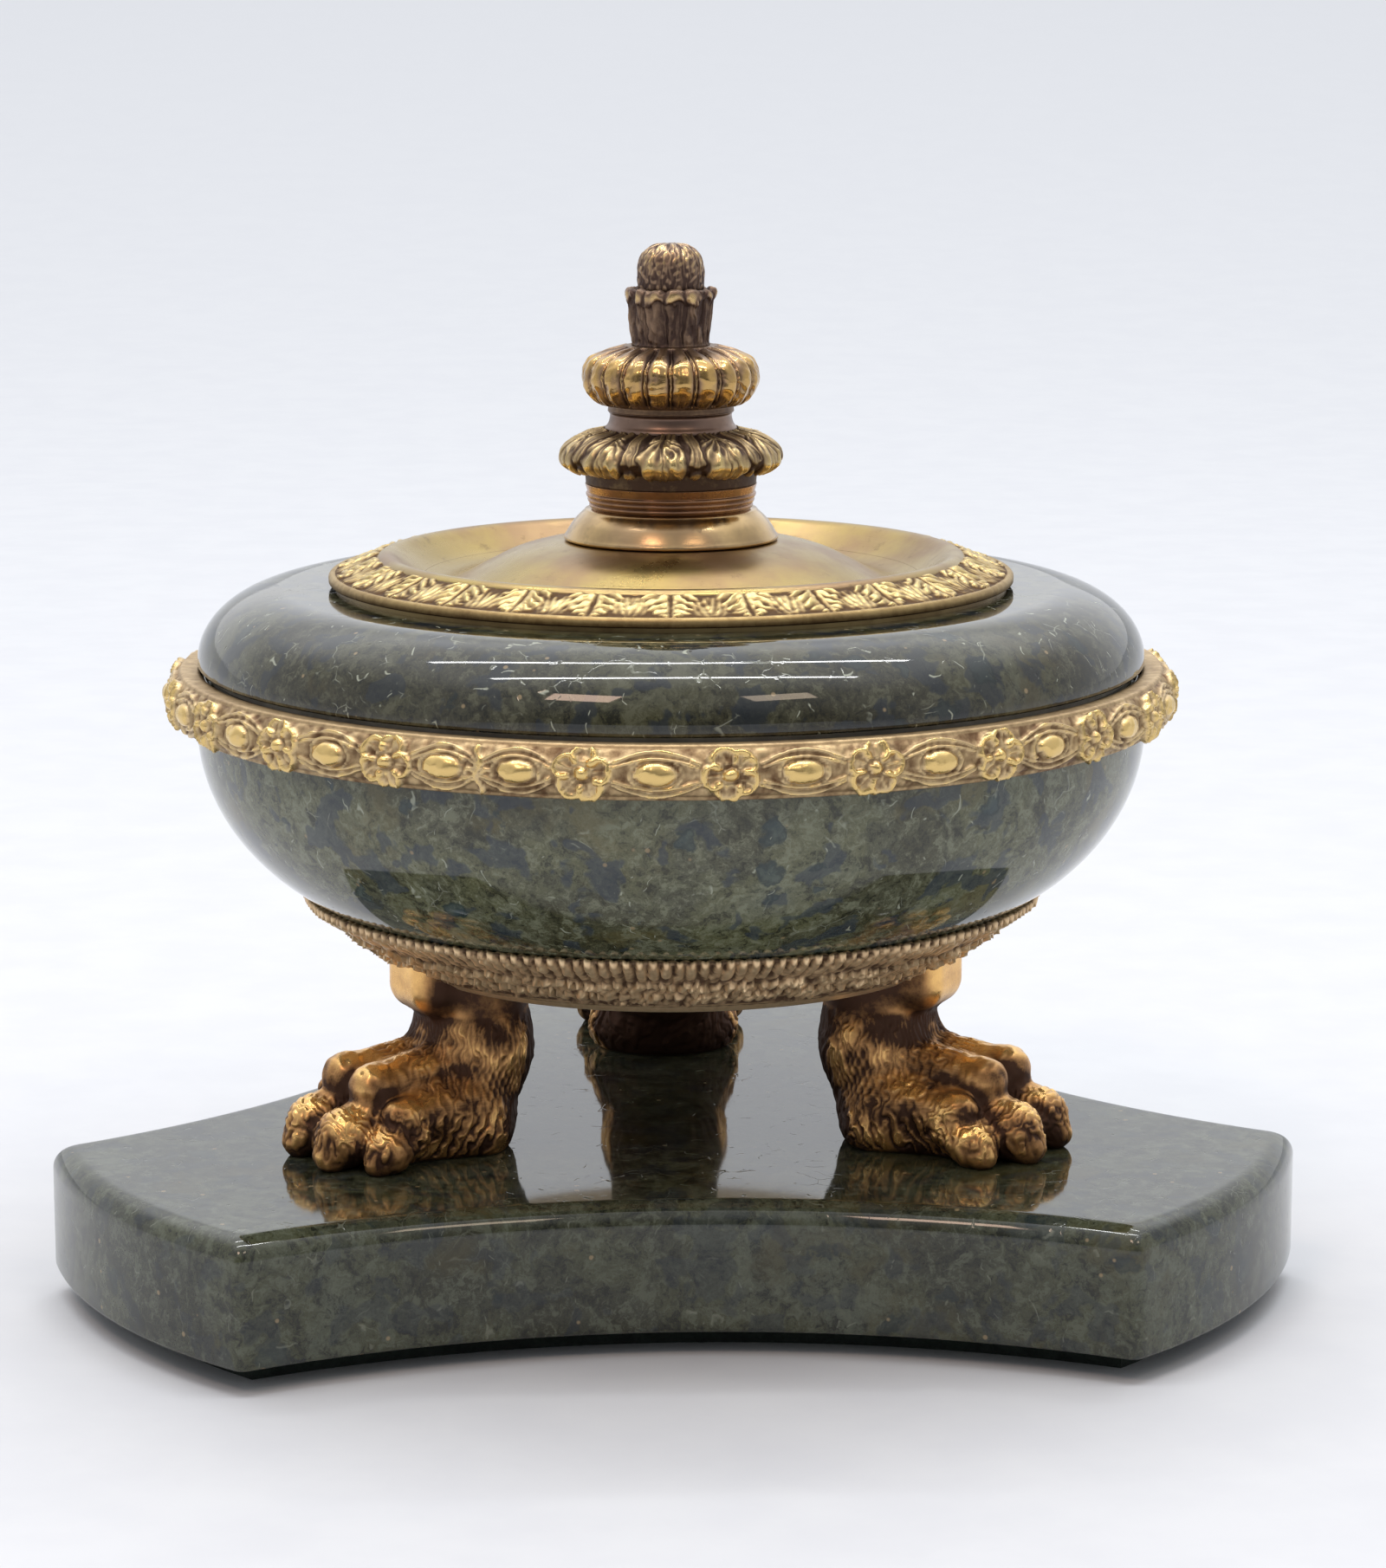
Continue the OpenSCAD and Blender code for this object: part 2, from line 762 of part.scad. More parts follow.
module finial_rod() {
    color("silver")
        translate([0, 0, rod_low_z])
            cylinder(r = rod_r, h = rod_high_z - rod_low_z, $fn = small_fn);
}

module lid_washer() {
    color("silver")
        ring(lid_washer_r, lid_hole_r, socle_z - lid_wall - lid_washer_h, lid_washer_h);
}

module lid_nut() {
    color("silver")
        translate([0, 0, socle_z - lid_wall - lid_washer_h - lid_nut_h])
            difference() {
                cylinder(r = lid_nut_af / 2 / cos(30), h = lid_nut_h, $fn = hex_fn);
                translate([0, 0, -eps])
                    cylinder(r = rod_r + fit, h = lid_nut_h + 2 * eps, $fn = small_fn);
            }
}

felt();
plinth();
foot_washers();
foot_screws();
paw_left();
paw_right();
paw_rear();
cradle_ring();
cradle_plate();
cradle_screws();
bowl_leather();
lower_bowl();
bowl_bolt();
bowl_washer();
bowl_nut();
band();
marble_bed();
upper_marble();
collar();
liner_gasket();
liner();
lid_dish();
lid_spigot();
finial_socle();
finial_neck();
finial_leaf_collar();
finial_upper_neck();
finial_knop();
finial_calyx();
finial_bud();
finial_rod();
lid_washer();
lid_nut();
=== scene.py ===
import math

import bpy
import numpy as np
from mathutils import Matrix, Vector


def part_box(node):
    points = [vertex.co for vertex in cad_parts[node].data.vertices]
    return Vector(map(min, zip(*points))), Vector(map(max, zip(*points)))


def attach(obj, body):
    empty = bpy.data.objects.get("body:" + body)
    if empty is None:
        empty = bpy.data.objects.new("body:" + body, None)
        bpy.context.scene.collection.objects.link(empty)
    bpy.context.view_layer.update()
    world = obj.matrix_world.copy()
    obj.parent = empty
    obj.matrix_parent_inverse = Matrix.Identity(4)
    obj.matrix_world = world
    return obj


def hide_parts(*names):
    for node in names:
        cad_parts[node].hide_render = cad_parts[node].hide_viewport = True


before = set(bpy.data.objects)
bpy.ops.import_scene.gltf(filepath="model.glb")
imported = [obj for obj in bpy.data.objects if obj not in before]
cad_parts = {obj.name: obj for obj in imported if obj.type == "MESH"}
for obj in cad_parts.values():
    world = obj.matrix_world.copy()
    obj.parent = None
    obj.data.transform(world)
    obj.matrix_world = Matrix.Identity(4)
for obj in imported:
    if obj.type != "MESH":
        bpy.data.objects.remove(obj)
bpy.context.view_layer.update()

# The desk inkwell: polished marble bowl and plinth, gilt band and lid, lion's paws.
# Profiles are worked out in millimetres and turned into metres when a mesh is made.

MM = 0.001
VIEW_TURN = 2.3      # degrees from the front, at -90, to the side that the camera faces


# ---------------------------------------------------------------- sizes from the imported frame

def heights(node):
    """Lowest and highest z of a CAD node in millimetres."""
    low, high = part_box(node)
    return low.z / MM, high.z / MM


def reach(node):
    """Largest distance from the axis of a round CAD node in millimetres."""
    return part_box(node)[1].x / MM


# ---------------------------------------------------------------- small numeric helpers

def smooth(low, high, x):
    t = np.clip((x - low) / (high - low), 0.0, 1.0)
    return t * t * (3.0 - 2.0 * t)


def wrap(degrees):
    """Degrees brought into -180 to 180."""
    return (degrees + 180.0) % 360.0 - 180.0


def nearest(degrees, pitch):
    """Degrees from the middle of the nearest of the repeats that are pitch apart."""
    u = degrees % pitch
    return np.where(u > pitch / 2.0, u - pitch, u)


def above(base, points):
    """(radius, rise) points lifted to a base height."""
    return [(r, base + rise) for r, rise in points]


def ridge(distance, width):
    return np.exp(-(distance / width) ** 2)


def dome(u, v, a, b):
    """Height of half an ellipsoid over its own outline, from 0 to 1."""
    return np.sqrt(np.clip(1.0 - (u / a) ** 2 - (v / b) ** 2, 0.0, None))


def waves(points, count, shortest, longest, seed):
    """A smooth random field of about unit strength at points (n, d), from plane waves."""
    rng = np.random.default_rng(seed)
    size = points.shape[-1]
    total = np.zeros(points.shape[:-1])
    for _ in range(count):
        direction = rng.normal(size=size)
        direction /= np.linalg.norm(direction)
        length = rng.uniform(shortest, longest)
        total += np.cos(points @ direction * (2.0 * np.pi / length) + rng.uniform(0.0, 2.0 * np.pi))
    return total * math.sqrt(2.0 / count)


def round_field(theta, radius, z, count, shortest, longest, seed):
    """waves() on the surface of a round piece, so it closes on itself."""
    t = np.radians(theta)
    points = np.stack(np.broadcast_arrays(radius * np.cos(t), radius * np.sin(t), z), axis=-1)
    return waves(points, count, shortest, longest, seed)


def line(start, end, count):
    """Points from start up to but without end."""
    t = np.arange(count)[:, None] / count
    return np.array(start) * (1.0 - t) + np.array(end) * t


def arc(centre, a, b, start, end, count):
    """Points of an elliptical arc between two angles in degrees, without the last one."""
    t = np.radians(start + (end - start) * np.arange(count) / count)
    return np.stack([centre[0] + a * np.cos(t), centre[1] + b * np.sin(t)], axis=1)


def curve(points, count):
    """A Catmull-Rom curve through points, as count evenly spread points with both ends."""
    p = np.array(points, float)
    p = np.vstack([2.0 * p[0] - p[1], p, 2.0 * p[-1] - p[-2]])
    dense = []
    for a, b, c, d in zip(p, p[1:], p[2:], p[3:]):
        t = np.linspace(0.0, 1.0, 40, endpoint=False)[:, None]
        dense.append(0.5 * (2.0 * b + (c - a) * t + (2.0 * a - 5.0 * b + 4.0 * c - d) * t ** 2
                            + (3.0 * b - a - 3.0 * c + d) * t ** 3))
    dense = np.vstack(dense + [p[-2:-1]])
    run = np.concatenate([[0.0], np.cumsum(np.linalg.norm(np.diff(dense, axis=0), axis=1))])
    at = np.linspace(0.0, run[-1], count)
    return np.stack([np.interp(at, run, dense[:, 0]), np.interp(at, run, dense[:, 1])], axis=1)


# ---------------------------------------------------------------- mesh making

def make_object(name, verts, faces, material, body, nodes, tone=None):
    """A smooth-shaded piece from millimetre vertices, riding on a body and standing for nodes."""
    mesh = bpy.data.meshes.new(name)
    mesh.from_pydata((verts * MM).tolist(), [], faces)
    mesh.polygons.foreach_set("use_smooth", [True] * len(mesh.polygons))
    if tone is not None:
        layer = mesh.attributes.new("tone", "FLOAT", "POINT")
        layer.data.foreach_set("value", np.clip(tone, 0.0, 1.0).astype(np.float32).ravel())
    mesh.materials.append(material)
    mesh.update()
    piece = bpy.data.objects.new(name, mesh)
    bpy.context.scene.collection.objects.link(piece)
    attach(piece, body)
    if nodes:
        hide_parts(*nodes)
    return piece


def grid_faces(rows, columns, closed):
    """Quads of a grid that closes on itself round its columns, and round its rows if closed."""
    i = np.arange(rows if closed else rows - 1)[:, None]
    j = np.arange(columns)[None, :]
    up, right = (i + 1) % rows, (j + 1) % columns
    quads = np.stack(np.broadcast_arrays(i * columns + j, i * columns + right,
                                         up * columns + right, up * columns + j), axis=-1)
    return quads.reshape(-1, 4).tolist()


def revolve(name, section, steps, material, body, nodes, slot, relief=None, lift=None):
    """A ring swept round the axis from a closed section of (radius, z) points.

    relief(theta, r, z) gives the height that each point stands proud of the section and its tone
    from 0 in a recess to 1 on a worn height, some reliefs adding painted light and shade; lift(theta, r, z)
    gives a rise in z.
    """
    p = np.array(section, float)
    q = np.roll(p, -1, axis=0)
    if np.sum(p[:, 0] * q[:, 1] - q[:, 0] * p[:, 1]) < 0.0:
        p = p[::-1]
    run = np.roll(p, -1, axis=0) - np.roll(p, 1, axis=0)
    run /= np.linalg.norm(run, axis=1)[:, None] + 1e-9
    normal = np.stack([run[:, 1], -run[:, 0]], axis=1)
    theta = (np.arange(steps) * 360.0 / steps)[None, :]
    r, z = p[:, 0:1], p[:, 1:2]
    height, tone = relief(theta, r, z) if relief else (0.0, None)
    radius = r + height * normal[:, 0:1]
    z = z + height * normal[:, 1:2] + (lift(theta, r, z) if lift else 0.0)
    t = np.radians(theta)
    verts = np.stack(np.broadcast_arrays(radius * np.cos(t), radius * np.sin(t), z), axis=-1)
    if tone is not None:
        tone = np.broadcast_to(tone, verts.shape[:2])
    return make_object(name, verts.reshape(-1, 3), grid_faces(len(p), steps, True),
                       material, body, nodes, tone)


def vertex_normals(verts, quads):
    a, b, c, d = (verts[quads[:, k]] for k in range(4))
    face = np.cross(c - a, d - b)
    total = np.zeros_like(verts)
    for k in range(4):
        np.add.at(total, quads[:, k], face)
    return total / (np.linalg.norm(total, axis=1)[:, None] + 1e-12)


def surface_net(field, origin, cell):
    """Vertices and outward quads of the zero surface of a sampled signed distance."""
    inside = field < 0.0
    shape = tuple(n - 1 for n in field.shape)
    total = np.zeros(shape + (3,), np.float32)
    count = np.zeros(shape, np.int16)
    crossings = []
    for axis in range(3):
        low = [slice(None)] * 3
        high = [slice(None)] * 3
        low[axis], high[axis] = slice(None, -1), slice(1, None)
        low, high = tuple(low), tuple(high)
        i, j, k = np.nonzero(inside[low] != inside[high])
        keep = np.ones(len(i), bool)
        index = np.stack([i, j, k], axis=1)
        others = [n for n in range(3) if n != axis]
        for n in others:
            keep &= (index[:, n] > 0) & (index[:, n] < shape[n])
        index = index[keep]
        f0 = field[low][tuple(index.T)]
        f1 = field[high][tuple(index.T)]
        point = index.astype(np.float32)
        point[:, axis] += f0 / (f0 - f1)
        corners = []
        for da, db in ((-1, -1), (0, -1), (0, 0), (-1, 0)):
            at = index.copy()
            at[:, others[0]] += da
            at[:, others[1]] += db
            np.add.at(total, tuple(at.T), point)
            np.add.at(count, tuple(at.T), 1)
            corners.append(at)
        flip = (f0 < 0.0) == (axis != 1)
        crossings.append((corners, flip))
    number = np.full(shape, -1, np.int64)
    used = count > 0
    number[used] = np.arange(used.sum())
    verts = total[used] / count[used][:, None] * cell + origin
    quads = []
    for corners, flip in crossings:
        quad = np.stack([number[tuple(at.T)] for at in corners], axis=1)
        quads.append(np.where(flip[:, None], quad, quad[:, ::-1]))
    return verts.astype(float), np.vstack(quads)


# ---------------------------------------------------------------- materials

def new_material(name):
    material = bpy.data.materials.new(name)
    material.use_nodes = True
    tree = material.node_tree
    return material, tree, tree.nodes["Principled BSDF"]


def put(tree, socket, value):
    if isinstance(value, bpy.types.NodeSocket):
        tree.links.new(value, socket)
    elif socket.type == "RGBA" and len(value) == 3:
        socket.default_value = (*value, 1.0)
    else:
        socket.default_value = value


def add(tree, kind, values=(), **settings):
    """A new node; values is a list of (input name or number, socket or constant)."""
    node = tree.nodes.new(kind)
    for key, value in settings.items():
        setattr(node, key, value)
    for key, value in values:
        put(tree, node.inputs[key], value)
    return node


def place(tree):
    return add(tree, "ShaderNodeTexCoord").outputs["Object"]


def noise(tree, vector, scale, detail=4.0, rough=0.55):
    node = add(tree, "ShaderNodeTexNoise", [("Vector", vector), ("Scale", scale), ("Detail", detail),
                                            ("Roughness", rough)])
    return node.outputs["Fac"]


def noise_colour(tree, vector, scale):
    node = add(tree, "ShaderNodeTexNoise", [("Vector", vector), ("Scale", scale), ("Detail", 3.0)])
    return node.outputs["Color"]


def cells(tree, vector, scale, feature="F1", output="Distance"):
    node = add(tree, "ShaderNodeTexVoronoi", [("Vector", vector), ("Scale", scale)], feature=feature)
    return node.outputs[output]


def ramp(tree, factor, stops):
    node = add(tree, "ShaderNodeValToRGB", [("Fac", factor)])
    points = node.color_ramp.elements
    while len(points) < len(stops):
        points.new(0.5)
    for point, (at, colour) in zip(points, stops):
        point.position = at
        point.color = (*colour, 1.0)
    return node.outputs["Color"]


def grade(tree, factor, low, high, start=0.0, end=1.0):
    """factor moved from the range low..high to start..end, eased at both ends."""
    node = add(tree, "ShaderNodeMapRange", [("Value", factor), ("From Min", low), ("From Max", high),
                                            ("To Min", start), ("To Max", end)],
               interpolation_type="SMOOTHSTEP")
    return node.outputs["Result"]


def mix(tree, factor, a, b):
    node = add(tree, "ShaderNodeMix", data_type="RGBA")
    put(tree, node.inputs[0], factor)
    put(tree, node.inputs[6], a)
    put(tree, node.inputs[7], b)
    return node.outputs[2]


def maths(tree, operation, a, b=0.0):
    node = add(tree, "ShaderNodeMath", operation=operation)
    put(tree, node.inputs[0], a)
    put(tree, node.inputs[1], b)
    return node.outputs[0]


def plus(tree, a, b):
    return maths(tree, "ADD", a, b)


def minus(tree, a, b):
    return maths(tree, "SUBTRACT", a, b)


def times(tree, a, b):
    return maths(tree, "MULTIPLY", a, b)


def vector_maths(tree, operation, a, b):
    node = add(tree, "ShaderNodeVectorMath", operation=operation)
    put(tree, node.inputs[0], a)
    put(tree, node.inputs[1], b)
    return node.outputs[0]


def bump(tree, height, strength, distance, normal=None):
    node = add(tree, "ShaderNodeBump", [("Height", height), ("Strength", strength),
                                        ("Distance", distance)])
    if normal is not None:
        tree.links.new(normal, node.inputs["Normal"])
    return node.outputs["Normal"]


def tone_of(tree):
    return add(tree, "ShaderNodeAttribute", attribute_name="tone").outputs["Fac"]


def marble_material(name, green, rough, veining, blotching):
    """Polished olive marble: grainy ground, slate blots, short pale flecks and brassy specks."""
    material, tree, shader = new_material(name)
    at = place(tree)
    push = vector_maths(tree, "SUBTRACT", noise_colour(tree, at, 130.0), (0.5, 0.5, 0.5))
    warped = vector_maths(tree, "ADD", at, vector_maths(tree, "MULTIPLY", push, (0.006,) * 3))
    fine_push = vector_maths(tree, "SUBTRACT", noise_colour(tree, at, 800.0), (0.5, 0.5, 0.5))
    ragged = vector_maths(tree, "ADD", warped, vector_maths(tree, "MULTIPLY", fine_push, (0.0028,) * 3))

    def tint(red, blue, by):
        return tuple(c * k * by for c, k in zip(green, (red, 1.0, blue)))

    clouds = noise(tree, warped, 55.0, 6.0, 0.60)
    body = ramp(tree, clouds, [(0.34, tint(1.08, 0.75, 0.50)), (0.46, tint(1.0, 0.95, 0.80)),
                               (0.54, tint(1.0, 0.80, 1.10)), (0.68, tint(0.95, 1.05, 1.40))])
    grain = noise(tree, ragged, 420.0, 8.0, 0.80)
    body = mix(tree, grade(tree, grain, 0.50, 0.60, 0.0, 0.70), body, tint(0.97, 1.05, 2.1))
    body = mix(tree, grade(tree, grain, 0.39, 0.50, 0.90, 0.0), body, tint(0.95, 0.90, 0.20))
    rusty = noise(tree, vector_maths(tree, "ADD", warped, (0.05, 0.02, 0.07)), 60.0, 5.0, 0.65)
    body = mix(tree, grade(tree, rusty, 0.54, 0.66, 0.0, 0.55), body, tint(1.25, 0.55, 0.95))
    haze = noise(tree, warped, 200.0, 2.5, 0.55)
    body = mix(tree, grade(tree, haze, 0.55, 0.60, 0.0, 0.75 * blotching), body, tint(0.72, 2.20, 0.40))
    size = add(tree, "ShaderNodeSeparateColor", [(0, cells(tree, ragged, 190.0, "F1", "Color"))])
    spread = times(tree, size.outputs[1], 0.30)
    gap = minus(tree, cells(tree, ragged, 190.0), spread)
    some = grade(tree, size.outputs[0], 0.66, 0.72)
    blob = times(tree, grade(tree, gap, 0.02, 0.12, 1.0, 0.0), some)
    rim = times(tree, grade(tree, gap, -0.08, 0.06, 0.0, 1.0), blob)
    body = mix(tree, times(tree, blob, 0.75 * blotching), body, tint(0.60, 1.75, 0.62))
    body = mix(tree, times(tree, rim, 0.80 * blotching), body, tint(0.62, 1.5, 0.22))
    tilt = vector_maths(tree, "MULTIPLY", warped, (1.0, 1.0, 0.6))
    winding = maths(tree, "ABSOLUTE", minus(tree, noise(tree, tilt, 190.0, 1.0, 0.4), 0.5))
    patches = grade(tree, noise(tree, at, 480.0, 2.0, 0.5), 0.58, 0.63)
    fleck = times(tree, grade(tree, winding, 0.002, 0.010, 1.0, 0.0), patches)
    shards = cells(tree, warped, 300.0, "DISTANCE_TO_EDGE")
    few = grade(tree, noise(tree, at, 190.0, 4.0, 0.6), 0.56, 0.64)
    hair = times(tree, grade(tree, shards, 0.0, 0.035, 1.0, 0.0), few)
    veins = maths(tree, "MAXIMUM", fleck, times(tree, hair, 0.55))
    body = mix(tree, times(tree, veins, veining), body, (0.34, 0.36, 0.28))
    chosen = add(tree, "ShaderNodeSeparateColor", [(0, cells(tree, at, 620.0, "F1", "Color"))])
    speck = times(tree, grade(tree, cells(tree, at, 620.0), 0.14, 0.24, 1.0, 0.0),
                  maths(tree, "GREATER_THAN", chosen.outputs[0], 0.95))
    body = mix(tree, times(tree, speck, 0.70), body, (0.30, 0.22, 0.12))
    put(tree, shader.inputs["Base Color"], body)
    smear = noise(tree, at, 35.0, 4.0, 0.6)
    gloss = grade(tree, smear, 0.35, 0.75, rough, rough + 0.04)
    put(tree, shader.inputs["Roughness"], plus(tree, gloss, times(tree, veins, 0.15)))
    shader.inputs["IOR"].default_value = 1.54
    pits = times(tree, grade(tree, cells(tree, at, 360.0), 0.0, 0.12, 1.0, 0.0),
                 grade(tree, noise(tree, at, 70.0, 2.0), 0.52, 0.60))
    relief = plus(tree, times(tree, veins, 0.5), pits)
    put(tree, shader.inputs["Normal"], bump(tree, relief, 0.22, -0.0002))
    return material


def gilt_material(name, high, low, recess, rough, metal):
    """Gilt or patinated bronze: bright on the worn heights, brown in the recesses, with the painted light and
    shade that the tone attribute carries.
    """
    material, tree, shader = new_material(name)
    at = place(tree)
    tone = tone_of(tree)
    worn = noise(tree, at, 240.0, 5.0, 0.65)
    stain = noise(tree, at, 900.0, 4.0, 0.7)
    level = plus(tree, tone, times(tree, minus(tree, worn, 0.5), 0.35))
    level = plus(tree, level, times(tree, minus(tree, stain, 0.5), 0.35))
    colour = ramp(tree, level, [(0.12, recess), (0.42, low), (0.80, high)])
    put(tree, shader.inputs["Base Color"], colour)
    shader.inputs["Metallic"].default_value = metal
    dull = grade(tree, level, 0.15, 0.75, rough + 0.32, rough)
    put(tree, shader.inputs["Roughness"], plus(tree, dull, times(tree, minus(tree, stain, 0.5), 0.16)))
    coarse = bump(tree, worn, 0.25, 0.0004)
    put(tree, shader.inputs["Normal"], bump(tree, stain, 0.22, 0.00012, coarse))
    return material


def satin_material(name, light, dark, rough, turning):
    """Smooth turned gilt metal with faint circular marks, handling wear and tarnish."""
    material, tree, shader = new_material(name)
    at = place(tree)
    part = add(tree, "ShaderNodeSeparateXYZ", [(0, at)])
    x2 = times(tree, part.outputs[0], part.outputs[0])
    y2 = times(tree, part.outputs[1], part.outputs[1])
    radius = maths(tree, "SQRT", plus(tree, x2, y2))
    rings = add(tree, "ShaderNodeCombineXYZ", [(0, radius), (1, part.outputs[2]), (2, 0.0)])
    marks = noise(tree, rings.outputs[0], 2600.0, 3.0, 0.6)
    cloud = noise(tree, at, 55.0, 5.0, 0.6)
    spots = noise(tree, at, 420.0, 5.0, 0.7)
    colour = mix(tree, grade(tree, cloud, 0.38, 0.64), light, dark)
    colour = mix(tree, grade(tree, spots, 0.58, 0.74, 0.0, 0.5), colour, tuple(0.45 * c for c in dark))
    put(tree, shader.inputs["Base Color"], colour)
    shader.inputs["Metallic"].default_value = 1.0
    put(tree, shader.inputs["Roughness"], plus(tree, grade(tree, cloud, 0.3, 0.7, rough, rough + 0.12),
                                                times(tree, spots, 0.12)))
    put(tree, shader.inputs["Normal"], bump(tree, marks, turning, 0.00008,
                                            bump(tree, spots, 0.10, 0.0002)))
    return material


def dull_material(name, colour, dark, rough, scale, depth, metallic):
    """Felt, leather, plaster or plain steel, from two sizes of noise."""
    material, tree, shader = new_material(name)
    at = place(tree)
    large = noise(tree, at, scale * 0.2, 4.0, 0.6)
    small = noise(tree, at, scale, 5.0, 0.7)
    body = mix(tree, grade(tree, large, 0.35, 0.7), colour, dark)
    put(tree, shader.inputs["Base Color"], mix(tree, grade(tree, small, 0.4, 0.8, 0.0, 0.5), body, dark))
    put(tree, shader.inputs["Roughness"], grade(tree, small, 0.3, 0.8, rough, min(1.0, rough + 0.15)))
    shader.inputs["Metallic"].default_value = metallic
    put(tree, shader.inputs["Normal"], bump(tree, small, 0.5, depth))
    return material


def porcelain_material():
    """White glazed porcelain with a faint bluish cast and dried ink low on the wall."""
    material, tree, shader = new_material("porcelain")
    at = place(tree)
    cloud = noise(tree, at, 60.0, 3.0, 0.5)
    body = mix(tree, grade(tree, cloud, 0.3, 0.7), (0.80, 0.80, 0.76), (0.72, 0.74, 0.73))
    level = add(tree, "ShaderNodeSeparateXYZ", [(0, at)]).outputs[2]
    wander = times(tree, noise(tree, at, 150.0, 5.0, 0.7), 0.006)
    ink = grade(tree, plus(tree, level, wander), 0.0650, 0.0680, 0.85, 0.0)
    put(tree, shader.inputs["Base Color"], mix(tree, ink, body, (0.012, 0.014, 0.030)))
    put(tree, shader.inputs["Roughness"], grade(tree, noise(tree, at, 300.0), 0.3, 0.7, 0.08, 0.16))
    shader.inputs["Coat Weight"].default_value = 0.6
    shader.inputs["Coat Roughness"].default_value = 0.05
    put(tree, shader.inputs["Normal"], bump(tree, cloud, 0.05, 0.0004))
    return material


# One olive marble at three levels: partly the stone's own variation, partly painted light, the bowl lighter
# where the floor lights it and the plinth darker where it faces the dim room.
marble_bowl = marble_material("marble_bowl", (0.098, 0.101, 0.064), 0.040, 0.85, 0.9)
marble_top = marble_material("marble_top", (0.045, 0.044, 0.026), 0.035, 0.85, 1.0)
marble_plinth = marble_material("marble_plinth", (0.049, 0.053, 0.035), 0.045, 0.22, 0.55)
# name: colours of worn heights, plain metal and recesses, which also show painted light and shade, roughness,
# metallic
GILT = {
    "gilt_band": ((0.76, 0.54, 0.21), (0.62, 0.46, 0.25), (0.16, 0.09, 0.045), 0.24, 0.85),
    "gilt_lid_border": ((0.62, 0.47, 0.20), (0.36, 0.25, 0.11), (0.10, 0.055, 0.025), 0.30, 0.95),
    "finial_bronze": ((0.60, 0.42, 0.19), (0.30, 0.20, 0.13), (0.080, 0.050, 0.040), 0.24, 0.90),
    "collar_bronze": ((0.66, 0.50, 0.22), (0.40, 0.29, 0.15), (0.08, 0.05, 0.035), 0.24, 0.90),
    "knop_bronze": ((0.54, 0.345, 0.125), (0.31, 0.20, 0.115), (0.085, 0.052, 0.038), 0.13, 0.96),
    "paw_bronze": ((0.98, 0.60, 0.21), (0.47, 0.25, 0.098), (0.068, 0.034, 0.021), 0.24, 0.88),
    "cradle_bronze": ((0.92, 0.68, 0.40), (0.66, 0.46, 0.26), (0.12, 0.070, 0.040), 0.30, 0.66),
}
# name: light and dark colours, roughness, depth of the turning marks
SATIN = {
    "lid_satin": ((0.375, 0.275, 0.100), (0.285, 0.185, 0.098), 0.19, 0.10),
    "turned_bronze": ((0.60, 0.42, 0.20), (0.34, 0.23, 0.125), 0.08, 0.10),
    "neck_bronze": ((0.46, 0.26, 0.14), (0.20, 0.12, 0.08), 0.14, 0.06),
    "dark_bronze": ((0.27, 0.18, 0.13), (0.17, 0.11, 0.085), 0.20, 0.06),
    "plate_brass": ((0.30, 0.22, 0.10), (0.18, 0.12, 0.055), 0.30, 0.2),
}
# name: light and dark colours, roughness, scale of the grain, its depth in metres, metallic
DULL = {
    "felt": ((0.012, 0.020, 0.014), (0.004, 0.007, 0.005), 0.85, 1800.0, 0.0004, 0.0),
    "leather": ((0.10, 0.045, 0.02), (0.05, 0.02, 0.01), 0.5, 900.0, 0.0002, 0.0),
    "plaster": ((0.55, 0.50, 0.42), (0.34, 0.30, 0.25), 0.85, 500.0, 0.0003, 0.0),
    "steel": ((0.34, 0.33, 0.32), (0.20, 0.17, 0.15), 0.35, 1500.0, 0.00006, 1.0),
}
metal = {name: gilt_material(name, *look) for name, look in GILT.items()}
metal.update({name: satin_material(name, *look) for name, look in SATIN.items()})
dull = {name: dull_material(name, *look) for name, look in DULL.items()}
porcelain = porcelain_material()


def clothe(nodes, material):
    """Gives carried-over CAD nodes a procedural material."""
    for name in nodes:
        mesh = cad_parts[name].data
        if not mesh.materials:
            mesh.materials.append(material)
        for k in range(len(mesh.materials)):
            mesh.materials[k] = material


clothe(["felt"], dull["felt"])
clothe(["foot_washers", "foot_screws", "cradle_screws", "bowl_bolt", "bowl_washer", "bowl_nut",
        "finial_rod", "lid_washer", "lid_nut"], dull["steel"])
clothe(["cradle_plate", "collar", "lid_spigot"], metal["plate_brass"])
clothe(["bowl_leather", "liner_gasket"], dull["leather"])
clothe(["marble_bed"], dull["plaster"])
clothe(["liner"], porcelain)


# ---------------------------------------------------------------- marble

plinth_low, floor_z = heights("plinth")
PLINTH_R = 80.3
END_HALF = 19.0
SIDE_MID = 47.2
EDGE_ROUND = 3.0
LOW_ROUND = 0.8
CORNER_SOFT = 1.3
CAP_STEP = 0.4      # a last narrow row of the flat faces, so the rounding shades cleanly


